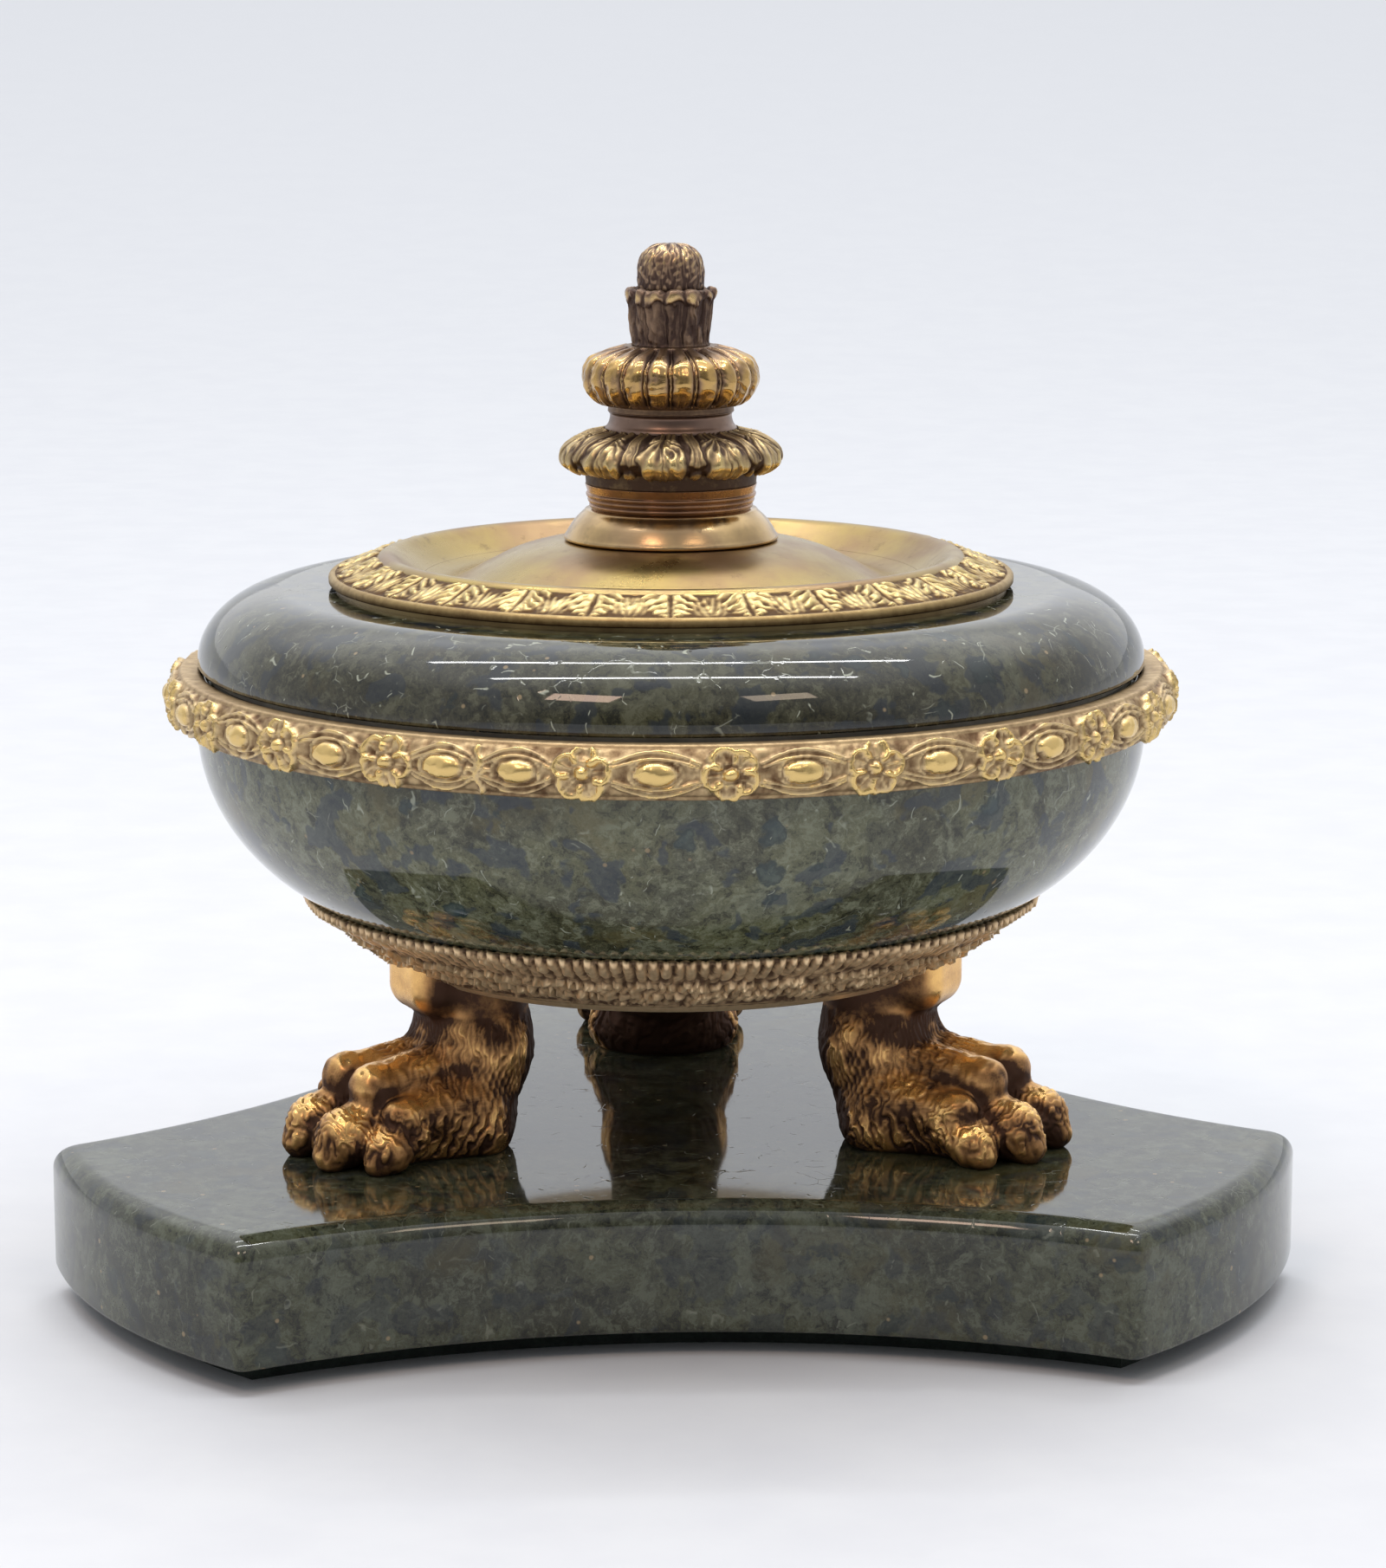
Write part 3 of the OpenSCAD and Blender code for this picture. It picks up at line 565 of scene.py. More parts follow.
def plinth_outline(inset):
    """The slab's outline moved inwards: three convex ends and three concave sides."""
    half = math.radians(60.0 - END_HALF)
    corner = (PLINTH_R * math.sin(half), PLINTH_R * math.cos(half))
    sag = corner[1] - SIDE_MID
    side_r = (corner[0] ** 2 + sag ** 2) / (2.0 * sag)
    centre = SIDE_MID + side_r
    outer, inner = PLINTH_R - inset, side_r + inset
    cos_c = (outer ** 2 + centre ** 2 - inner ** 2) / (2.0 * outer * centre)
    turn = 60.0 - math.degrees(math.acos(cos_c))
    points = []
    for end in (-150.0, -30.0, 90.0):
        a = np.radians(np.linspace(end - turn, end + turn, 60))
        points.append(np.stack([outer * np.cos(a), outer * np.sin(a)], axis=1))
        middle = math.radians(end + 60.0)
        hub = centre * np.array([math.cos(middle), math.sin(middle)])
        first = points[-1][-1] - hub
        b0 = math.atan2(first[1], first[0])
        span = 2.0 * wrap(math.degrees(middle + math.pi - b0))
        b = b0 + np.radians(np.linspace(0.0, span, 90))
        points.append(hub + inner * np.stack([np.cos(b), np.sin(b)], axis=1))
    return soften(points)


def soften(arcs):
    """Joins arcs into one loop, with each corner rounded over CORNER_SOFT."""
    loop = []
    for k, piece in enumerate(arcs):
        after = arcs[(k + 1) % len(arcs)]
        loop.append(trim(piece))
        p0, corner, p2 = loop[-1][-1], piece[-1], trim(after)[0]
        t = np.linspace(0.0, 1.0, 9)[1:-1, None]
        loop.append((1.0 - t) ** 2 * p0 + 2.0 * t * (1.0 - t) * corner + t ** 2 * p2)
    return np.vstack(loop)


def trim(piece):
    """An arc with CORNER_SOFT taken off both ends, at the same number of points."""
    run = np.concatenate([[0.0], np.cumsum(np.linalg.norm(np.diff(piece, axis=0), axis=1))])
    at = np.linspace(CORNER_SOFT, run[-1] - CORNER_SOFT, len(piece))
    return np.stack([np.interp(at, run, piece[:, k]) for k in range(2)], axis=1)


def build_plinth():
    rows = []
    for t in np.radians(np.linspace(90.0, 0.0, 6)):
        rows.append((LOW_ROUND * (1.0 - math.cos(t)), plinth_low + LOW_ROUND * (1.0 - math.sin(t))))
    rows += [(0.0, z) for z in np.linspace(plinth_low + 3.0, floor_z - EDGE_ROUND - 1.0, 4)]
    for t in np.radians(np.linspace(0.0, 90.0, 17)):
        rows.append((EDGE_ROUND * (1.0 - math.cos(t)), floor_z - EDGE_ROUND * (1.0 - math.sin(t))))
    rows.append((EDGE_ROUND + CAP_STEP, floor_z))
    rows.insert(0, (LOW_ROUND + CAP_STEP, plinth_low))
    rings = []
    for inset, z in rows:
        loop = plinth_outline(inset)
        rings.append(np.column_stack([loop, np.full(len(loop), z)]))
    columns = len(rings[0])
    faces = grid_faces(len(rings), columns, False)
    last = (len(rings) - 1) * columns
    verts = np.vstack(rings + [[[0.0, 0.0, plinth_low], [0.0, 0.0, floor_z]]])
    bottom, top = len(verts) - 2, len(verts) - 1
    for j in range(columns):
        k = (j + 1) % columns
        faces.append((k, j, bottom))
        faces.append((last + j, last + k, top))
    return make_object("marble_plinth", verts, faces, marble_plinth, "base", ["plinth"])


build_plinth()

bowl_low, bowl_top = heights("lower_bowl")
upper_low, upper_top = heights("upper_marble")
band_low, band_top = heights("band")
BOWL_R = 60.4
BOWL_FLAT_R = 30.0
BOWL_WIDE_Z = 70.4
LEDGE_Z = band_low + 0.8
LEDGE_R = 59.6
HOLLOW_R = 38.0
BOWL_FLOOR_Z = bowl_low + 8.0
BOLT_HOLE_R = 3.4

bowl_section = np.vstack([
    line((BOLT_HOLE_R, bowl_low), (BOWL_FLAT_R, bowl_low), 12),
    arc((BOWL_FLAT_R, BOWL_WIDE_Z), BOWL_R - BOWL_FLAT_R, BOWL_WIDE_Z - bowl_low, -90.0, 0.0, 90),
    line((BOWL_R, BOWL_WIDE_Z), (BOWL_R, LEDGE_Z), 3),
    line((BOWL_R, LEDGE_Z), (LEDGE_R, LEDGE_Z), 3),
    line((LEDGE_R, LEDGE_Z), (LEDGE_R, bowl_top - 0.3), 4),
    arc((LEDGE_R - 0.3, bowl_top - 0.3), 0.3, 0.3, 0.0, 90.0, 4),
    line((LEDGE_R - 0.3, bowl_top), (HOLLOW_R + 0.3, bowl_top), 8),
    arc((HOLLOW_R + 0.3, bowl_top - 0.3), 0.3, 0.3, 90.0, 180.0, 4),
    line((HOLLOW_R, bowl_top - 0.3), (HOLLOW_R, BOWL_FLOOR_Z + 6.0), 8),
    arc((HOLLOW_R - 6.0, BOWL_FLOOR_Z + 6.0), 6.0, 6.0, 0.0, -90.0, 10),
    line((HOLLOW_R - 6.0, BOWL_FLOOR_Z), (BOLT_HOLE_R, BOWL_FLOOR_Z), 8),
    line((BOLT_HOLE_R, BOWL_FLOOR_Z), (BOLT_HOLE_R, bowl_low), 4),
])
revolve("marble_lower_bowl", bowl_section, 480, marble_bowl, "base", ["lower_bowl"], "marble")

UPPER_R = BOWL_R - 0.2
FLAT_R = 49.0
OPENING_R = 34.0
SOFT = 0.6
upper_section = np.vstack([
    line((OPENING_R, upper_low), (UPPER_R - SOFT, upper_low), 12),
    arc((UPPER_R - SOFT, upper_low + SOFT), SOFT, SOFT, -90.0, 0.0, 8),
    arc((FLAT_R, upper_low + SOFT), UPPER_R - FLAT_R, upper_top - upper_low - SOFT, 0.0, 90.0, 80),
    line((FLAT_R, upper_top), (OPENING_R + SOFT, upper_top), 20),
    arc((OPENING_R + SOFT, upper_top - SOFT), SOFT, SOFT, 90.0, 180.0, 6),
    line((OPENING_R, upper_top - SOFT), (OPENING_R, upper_low), 6),
])
revolve("marble_upper", upper_section, 480, marble_top, "base", ["upper_marble"], "marble")


# ---------------------------------------------------------------- band

BAND_R = 63.6
BAND_LIP_R = 62.5
BAND_IN_R = 59.9
BAND_MID = (band_low + band_top) / 2.0
BAND_HALF = (band_top - band_low) / 2.0
SEAM_AT = -90.0 - 22.3
ROSETTES = 23
ROSETTE_PITCH = (360.0 - 22.0) / (ROSETTES - 1)
rosette_angles = [SEAM_AT + 11.0 + ROSETTE_PITCH * k for k in range(ROSETTES)]
bead_angles = [a + ROSETTE_PITCH / 2.0 for a in rosette_angles[:-1]] + [SEAM_AT - 4.05, SEAM_AT + 4.05]
ARC_MM = math.radians(1.0) * BAND_R


def rosette(u, v, turn, spread):
    """A flower with five broad curled petals and a round centre, in millimetres about its middle."""
    hub = np.sqrt(u ** 2 + v ** 2)
    height = np.zeros(np.broadcast(u, v).shape)
    for k in range(5):
        a = math.radians(turn + 72.0 * k)
        along = u * math.cos(a) + v * math.sin(a)
        across = -u * math.sin(a) + v * math.cos(a)
        d = np.sqrt(((along - 1.95 * spread) / 1.42) ** 2 + (across / 1.62) ** 2)
        rim = ridge(d - 0.82, 0.22) * smooth(0.5, 1.3, along)
        leaf = 0.36 * (d < 1.0) * (1.0 - 0.75 * ridge(d, 0.55)) + 0.30 * ridge(across, 0.20) * (d < 0.6)
        height = np.maximum(height, np.maximum(1.02 * rim, leaf))
    height = np.where(hub < 1.25, 0.12, height)
    return np.maximum(height, 1.10 * dome(u, v, 0.86, 0.86))


def band_relief(theta, r, z):
    v = (z - BAND_MID) * (r > BAND_LIP_R - 1.0)
    front = smooth(BAND_LIP_R - 0.15, BAND_LIP_R + 0.2, r)
    inner = 1.0 - smooth(BAND_HALF - 0.75, BAND_HALF - 0.45, np.abs(v))
    height = np.zeros(np.broadcast(theta, z).shape)
    rough = round_field(theta, BAND_R, z, 26, 0.7, 3.0, 3)
    for k, angle in enumerate(bead_angles):
        u = wrap(theta - angle) * ARC_MM
        near = np.abs(u[0]) < 9.0
        uu = u[:, near] + 0.12 * rough[:, near]
        short = 11.0 if k >= ROSETTES - 1 else 14.5
        swell = np.cos(np.clip(np.pi * uu / short, -np.pi / 2, np.pi / 2))
        part = np.zeros((len(z), near.sum()))
        for side in (-1.0, 1.0):
            for offset in (0.0, 0.62):
                middle = side * (1.75 * swell + offset * (0.25 + swell) - 0.1)
                part = np.maximum(part, 0.54 * ridge(v - middle, 0.22) * (np.abs(uu) < short / 2 + 0.6))
        ring = np.sqrt((uu / 2.95) ** 2 + (v / 1.75) ** 2) - 1.0
        part = np.maximum(part, 0.48 * ridge(ring * 2.2, 0.22))
        part = np.where(ring < -0.02, part - 0.10, part)
        part = np.maximum(part, 1.18 * dome(uu, v, 2.45, 1.36))
        height[:, near] = np.maximum(height[:, near], part)
    rng = np.random.default_rng(11)
    for angle in rosette_angles:
        u = wrap(theta - angle) * ARC_MM
        near = np.abs(u[0]) < 4.6
        turn = rng.uniform(0.0, 72.0)
        flower = rosette((u[:, near] + 0.10 * rough[:, near]) * 0.95, v * 1.10, turn, rng.uniform(0.95, 1.04))
        cover = np.sqrt((u[:, near] / 3.7) ** 2 + (v / 3.1) ** 2) < 1.0
        height[:, near] = np.where(cover & (flower < 0.3), 0.12 + 0.5 * flower,
                                   np.maximum(height[:, near] * ~cover, flower))
    u = wrap(theta - SEAM_AT) * ARC_MM
    knot = 0.75 * ridge(u - 0.35 * np.sin(2.2 * v), 0.42) * (np.abs(v) < 2.5)
    height = np.maximum(height, knot)
    height = height * inner * front + 0.055 * rough * front * (0.4 + 0.6 * inner)
    tone = 0.24 + 0.62 * smooth(0.10, 0.90, height) + 0.05 * rough
    tone = np.where(z > band_top - 0.45, 0.30, tone)
    return height * 0.92, tone


band_section = np.vstack([
    line((BAND_IN_R, band_low + 0.9), (61.0, band_low + 0.9), 3),
    line((61.0, band_low + 0.9), (BAND_LIP_R - 0.5, band_low), 5),
    arc((BAND_LIP_R - 0.35, band_low + 0.35), 0.35, 0.35, -90.0, 0.0, 4),
    curve([(BAND_LIP_R, band_low + 0.45), (63.15, band_low + 1.0), (63.55, BAND_MID - 1.0), (63.6, BAND_MID),
           (63.45, BAND_MID + 1.2), (63.0, band_top - 1.0), (BAND_LIP_R, band_top - 0.4)], 48)[:-1],
    arc((BAND_LIP_R - 0.4, band_top - 0.4), 0.4, 0.4, 0.0, 90.0, 4),
    line((BAND_LIP_R - 0.4, band_top), (BAND_IN_R, band_top - 0.15), 6),
    line((BAND_IN_R, band_top - 0.15), (BAND_IN_R, band_low + 0.9), 3),
])
revolve("gilt_band", band_section, 1300, metal["gilt_band"], "base", ["band"], "gilt", relief=band_relief)


# ---------------------------------------------------------------- cradle

cradle_low, cradle_top = heights("cradle_ring")
FOOT_R = 34.3
GALLERY_LOW = np.array([37.5, cradle_low + 2.05])
GALLERY_TOP = np.array([47.3, cradle_top - 0.3])
GALLERY_LEAVES = 190


def cradle_relief(theta, r, z):
    """A row of beads over two tangled rows of small leaves on the gallery, above a plain fillet."""
    slope = GALLERY_TOP - GALLERY_LOW
    length = np.linalg.norm(slope)
    s = ((r - GALLERY_LOW[0]) * slope[0] + (z - GALLERY_LOW[1]) * slope[1]) / length
    outside = (z < cradle_low + 1.0 + (r - 35.0) * 0.68) & (s > -0.3)
    rough = round_field(theta, 44.0, z + r * 0.7, 34, 0.6, 2.4, 5)
    rng = np.random.default_rng(21)
    pitch = 360.0 / GALLERY_LEAVES
    height = np.zeros(np.broadcast(theta, z).shape)
    twist = round_field(theta, 44.0, z + r * 0.7, 22, 2.2, 4.4, 6)
    for foot, tip, shift in ((-0.4, 3.2, 0.0), (2.2, 6.2, 0.5), (5.4, length + 0.4, 0.0)):
        wild = 0.0 if tip > length else 1.0
        leaf = (np.floor(theta / pitch + shift + 0.5) % GALLERY_LEAVES).astype(int)
        tall = rng.uniform(-0.5, 0.5, GALLERY_LEAVES)[leaf]
        bold = rng.uniform(0.75, 1.1, GALLERY_LEAVES)[leaf]
        u = ((theta / pitch + shift + 0.5 + wild * 0.26 * twist) % 1.0 - 0.5) * 2.0 + 0.10 * rough
        v = (s - foot + wild * 0.4 * twist) / (tip + 0.35 * tall - foot)
        rounded = np.sqrt(np.clip(1.0 - (np.clip(v - 0.52, 0.0, None) / 0.48) ** 2, 0.0, 1.0))
        across = np.abs(u) / (0.90 * rounded + 1e-3)
        body = np.sqrt(np.clip(1.0 - across ** 3.0, 0.0, 1.0)) * (v > 0.0) * (v < 1.0)
        height = np.maximum(height, body * (0.25 + 0.85 * np.clip(v, 0.0, 1.0) ** 1.3) * bold)
    height = np.where(outside, height + 0.06 * rough, 0.0)
    step = ridge(z - cradle_low - 1.25, 0.14) * (z < GALLERY_LOW[1]) * (r > FOOT_R)
    plain = 0.62 + 0.05 * rough - 0.5 * step
    crown = smooth(cradle_top - 1.3, cradle_top - 0.4, z)
    leafy = 0.16 + 0.66 * smooth(0.15, 0.90, height) * (1.0 - 0.40 * crown) + 0.06 * rough
    tone = np.where(outside, leafy, plain)
    return np.where(outside, height * (1.05 - 0.45 * crown), -0.10 * step), tone


cradle_section = np.vstack([
    line((22.0, cradle_low), (FOOT_R, cradle_low), 4),
    curve(above(cradle_low, [
        (FOOT_R, 0.0), (35.2, 0.25), (36.2, 0.9), (36.9, 1.25), (37.4, 1.6), (37.5, 2.0)]), 12)[:-1],
    line(GALLERY_LOW, (46.7, cradle_top - 0.45), 28),
    arc((46.55, cradle_top - 0.45), 0.45, 0.45, 0.0, 150.0, 7),
    line((46.0, cradle_top - 0.35), (36.2, cradle_low + 3.6), 5),
    line((36.2, cradle_low + 3.6), (36.0, cradle_low + 1.95), 2),
    line((36.0, cradle_low + 1.95), (22.0, cradle_low + 1.95), 3),
    line((22.0, cradle_low + 1.95), (22.0, cradle_low), 2),
])


def cradle_lift(theta, r, z):
    """Scallops along the gallery's top edge."""
    wave = np.abs(np.cos(np.radians(theta) * GALLERY_LEAVES / 2.0 + np.pi / 2.0))
    return 0.32 * (wave - 0.75) * smooth(cradle_top - 1.1, cradle_top - 0.2, z)


revolve("bronze_cradle", cradle_section, 1520, metal["cradle_bronze"], "base", ["cradle_ring"], "paw_bronze",
        relief=cradle_relief, lift=cradle_lift)


# ---------------------------------------------------------------- lid

lid_top = heights("lid_dish")[1]
LID_R = reach("lid_dish")
LID_Z = lid_top - 5.1
RIM_H = 1.1
BORDER_IN = 37.4
BORDER_OUT = 42.7
LID_LEAVES = 27
LEAF_START = -90.0 - 13.2 - VIEW_TURN


def lid_relief(theta, r, z):
    top = (z > LID_Z + RIM_H * 0.6) & (r > BORDER_IN - 0.6)
    pitch = 360.0 / LID_LEAVES
    u = nearest(theta - LEAF_START, pitch) / (pitch / 2.0)
    w = (r - BORDER_IN) / (BORDER_OUT - BORDER_IN)
    rough = round_field(theta, r, 0.0, 26, 0.8, 3.5, 9)
    lobes = 1.0 + 0.10 * np.sin(w * 15.0 + 0.6 * rough)
    half = 0.93 * np.clip(1.0 - np.clip(w, 0.0, 1.0) ** 2.6, 0.0, 1.0) ** 0.6 * lobes + 1e-3
    x = np.abs(u) / half
    leaf = np.clip(1.0 - x ** 3.0, 0.0, 1.0)
    veins = np.cos(2.0 * np.pi * (w * 3.6 - np.abs(u) * 2.3 + 0.12 * rough))
    height = leaf * (0.58 + 0.30 * veins * smooth(0.06, 0.28, np.abs(u))) - 0.42 * ridge(u, 0.055) * leaf
    gap = 1.0 - np.abs(u)
    tuft = dome(gap, w - 0.56, 0.60, 0.50) * (0.52 + 0.12 * np.cos(gap * 34.0 + 9.0 * w))
    height = np.maximum(height, tuft)
    edge = smooth(-0.08, 0.05, w) * (1.0 - smooth(0.97, 1.03, w))
    height = (height + 0.07 * rough) * edge
    bead = 0.30 * ridge((w - 1.06), 0.05)
    height = np.maximum(height, bead)
    tone = np.where(w > -0.08, 0.06 + 0.84 * smooth(0.14, 0.80, height), 0.70)
    tone = np.where(w > 1.0, 0.42, tone)
    # The rim's underside is painted nearly black, a painted shadow under the lid.
    side = np.where(z < LID_Z + 0.2, 0.05, 0.26)
    return np.where(top, height * 0.62, 0.0), np.where(top, tone, side)


def build_lid():
    """The plain dish and its leaf border: two meshes, each with its own finish."""
    under = 1.1
    top_curve = curve(above(LID_Z, [
        (BORDER_IN, 3.05), (36.9, 3.5), (36.2, 3.7), (35.3, 3.45), (33.8, 2.3), (31.6, 0.75),
        (29.2, -0.05), (27.0, 0.35), (23.5, 2.1), (20.5, 3.55), (17.6, 4.45)]) + [(14.5, lid_top)], 90)
    border = np.vstack([
        line((36.2, LID_Z + 2.0), (39.5, LID_Z + 0.1), 6),
        line((39.5, LID_Z), (LID_R - 0.2, LID_Z), 6),
        arc((LID_R - 0.35, LID_Z + 0.35), 0.35, 0.35, -90.0, 0.0, 4),
        arc((LID_R - 0.35, LID_Z + RIM_H - 0.35), 0.35, 0.35, 0.0, 90.0, 4),
        curve([(LID_R - 0.35, LID_Z + RIM_H), (42.6, LID_Z + RIM_H + 0.05), (41.0, LID_Z + 1.55),
               (39.0, LID_Z + 2.35), (BORDER_IN, LID_Z + 3.05)], 44),
    ])
    below = top_curve[::-1] - np.array([0.0, under])
    dish = np.vstack([top_curve, line((2.3, lid_top), (2.3, lid_top - under), 3), below])
    revolve("lid_plain_dish", dish, 360, metal["lid_satin"], "lid", ["lid_dish"], "lid_gilt")
    revolve("lid_leaf_border", border, 1300, metal["gilt_lid_border"], "lid", [], "lid_gilt",
            relief=lid_relief)


build_lid()


# ---------------------------------------------------------------- finial

def solid(name, profile, steps, material, node, bore, **extra):
    """A turned finial part: its outer profile from low to high, closed along the rod's bore."""
    p = np.array(profile, float)
    low, high = p[0], p[-1]
    section = np.vstack([
        line((bore, low[1]), low, 4),
        p,
        line(high, (bore, high[1]), 5)[1:],
        line((bore, high[1]), (bore, low[1]), 3),
    ])
    return revolve(name, section, steps, material, "lid", [node], "finial_bronze", **extra)


socle_low, socle_top = heights("finial_socle")
neck_low, neck_top = heights("finial_neck")
leaf_low, leaf_top = heights("finial_leaf_collar")
upper_low_z, upper_top_z = heights("finial_upper_neck")
knop_low, knop_top = heights("finial_knop")
calyx_low, calyx_top = heights("finial_calyx")
bud_low, bud_top = heights("finial_bud")
ROD_R = 2.0

solid("finial_socle_ring", curve(above(socle_low, [
            (13.15, 0.0), (13.55, 0.25), (13.6, 0.55), (13.35, 0.95), (12.9, 1.7),
            (12.35, 2.5), (11.7, 3.2), (11.1, 3.75)]) + [(10.9, socle_top)], 60),
      320, metal["turned_bronze"], "finial_socle", ROD_R)


def neck_profile():
    z = np.linspace(neck_low, neck_top, 80)
    t = (z - neck_low) / (neck_top - neck_low)
    r = 9.95 + 0.95 * t
    for at in (0.14, 0.36, 0.57):
        r += 0.30 * np.clip(1.0 - ((t - at) / 0.105) ** 2, 0.0, 1.0) ** 0.5
    return np.stack([r, z], axis=1)


solid("finial_grooved_neck", neck_profile(), 320, metal["neck_bronze"], "finial_neck", ROD_R)

COLLAR_LEAVES = 10
COLLAR_START = -90.0 - 4.1 - VIEW_TURN
COLLAR_MID_Z = leaf_low + 2.7


def collar_relief(theta, r, z):
    """Broad lobed leaves with fanned veins hanging over the ring, narrow ones and curls between."""
    turn = np.degrees(np.arctan2(z - COLLAR_MID_Z, r - 10.4))
    s = np.clip((98.0 - turn) / 128.0, 0.0, 1.3)
    out = (r > 8.3) & (z > leaf_low + 2.15)
    rough = round_field(theta, 14.0, z, 26, 0.6, 2.6, 13)
    pitch = 360.0 / COLLAR_LEAVES
    u = nearest(theta - COLLAR_START + 0.8 * rough, pitch)
    fan = np.arctan2(np.abs(u), 14.0 * (1.02 - s) + 1.0)
    lobes = 1.0 + 0.07 * np.cos(9.0 * fan)
    end = np.clip((s - 0.56) / 0.42, 0.0, 1.0)
    half = (10.0 + 5.0 * smooth(0.0, 0.6, s)) * np.sqrt(1.0 - end ** 2.4) * lobes + 1e-3
    x = np.abs(u) / half
    broad = np.clip(1.0 - x ** 6.0, 0.0, 1.0)
    rays = np.arctan2(np.abs(u), 30.0 * np.clip(s, 0.05, None))
    veins = np.cos(rays * 18.0 + 0.8 * rough)
    curl = 0.30 * ridge(x - 0.86, 0.16) * smooth(0.35, 0.7, s) + 0.22 * ridge(end - 0.92, 0.12)
    height = broad * (0.50 + 0.24 * smooth(0.3, 0.9, s) + 0.14 * veins + curl) - 0.28 * ridge(u, 0.7) * broad
    x2 = pitch / 2.0 - np.abs(u)
    narrow = np.clip(1.0 - (x2 / 6.6) ** 3.0, 0.0, 1.0) * (1.0 - smooth(0.66, 0.74, s + 0.012 * x2))
    narrow = narrow * (0.56 + 0.12 * np.cos(x2 * 1.9) - 0.20 * ridge(x2, 0.6))
    berry = 0.80 * dome(x2, (s - 0.84) * 24.0, 3.4, 2.6)
    height = np.maximum(np.maximum(height, narrow), berry) + 0.05 * rough
    # Painted shade under the overhang: the leaves' undersides and the plain band below them are darker.
    tone = 0.03 + 0.78 * smooth(0.20, 0.95, height) - 0.22 * smooth(1.02, 1.15, s)
    return np.where(out, height * 0.80, 0.0), np.where(out, tone, 0.12)


collar_profile = np.vstack([
    line((10.80, leaf_low), (10.95, leaf_low + 2.0), 8),
    curve(above(leaf_low, [
            (10.95, 2.1), (12.2, 2.2), (13.2, 2.65), (13.7, 3.3), (13.5, 4.2),
            (12.6, 5.1), (11.2, 5.85), (9.6, 6.25), (8.8, 6.45)]) + [(8.2, leaf_top)], 78)])
solid("finial_leaf_ring", collar_profile, 900, metal["collar_bronze"], "finial_leaf_collar", ROD_R,
      relief=collar_relief)

upper_profile = curve([(8.4, upper_low_z), (8.3, upper_low_z + 0.35), (7.95, upper_low_z + 0.85),
                       (7.75, upper_low_z + 1.5), (7.72, upper_top_z - 0.4), (8.0, upper_top_z)], 36)
solid("finial_plain_neck", upper_profile, 320, metal["dark_bronze"], "finial_upper_neck", ROD_R)

KNOP_LOBES = 21
KNOP_START = -90.0 + 0.2 - VIEW_TURN
KNOP_MID_Z = knop_low + 4.35


def knop_relief(theta, r, z):
    """Gadroons with a thin rib in each groove, dying away towards the top and the bottom."""
    turn = np.degrees(np.arctan2(z - KNOP_MID_Z, r - 7.0))
    pitch = 360.0 / KNOP_LOBES
    rough = round_field(theta, 11.0, z, 24, 0.8, 3.5, 17)
    u = nearest(theta - KNOP_START + 0.30 * rough, pitch) / (pitch / 2.0)
    out = (r > 5.9) & (turn > -98.0) & (turn < 118.0) & (z > knop_low + 0.95)
    fade = smooth(-92.0, -62.0, turn) * (1.0 - 0.7 * smooth(92.0, 118.0, turn))
    lobe = np.sqrt(np.clip(1.0 - ((1.0 - np.abs(u)) / 0.90) ** 2, 0.0, 1.0))
    rib = 0.72 * np.sqrt(np.clip(1.0 - (u / 0.08) ** 2, 0.0, 1.0))
    shape = np.maximum(lobe, rib)
    height = 0.74 * (shape - 1.0) * fade + 0.05 * rough
    tone = 0.08 + 0.50 * smooth(0.35, 0.95, shape) + 0.18 * rib * fade
    # Painted highlight in a band round the upper middle of the knop, painted shade on its top.
    tone = tone + 0.18 * ridge(turn - 15.0, 45.0) - 0.28 * smooth(35.0, 70.0, turn) + 0.10 * rough
    return np.where(out, height, 0.0), np.where(out, tone, 0.25)


knop_profile = np.vstack([
    line((8.0, knop_low), (7.9, knop_low + 0.75), 4),
    curve(above(knop_low, [
            (7.9, 0.8), (9.2, 0.95), (10.3, 1.8), (11.0, 3.0), (11.28, 4.4),
            (11.0, 5.7), (10.1, 6.8), (8.5, 7.55), (6.9, 8.0)]) + [(5.6, knop_top)], 88)])
solid("finial_gadroon_knop", knop_profile, 840, metal["knop_bronze"], "finial_knop", ROD_R,
      relief=knop_relief)

CALYX_LEAVES = 14
CALYX_START = -90.0 + 4.0


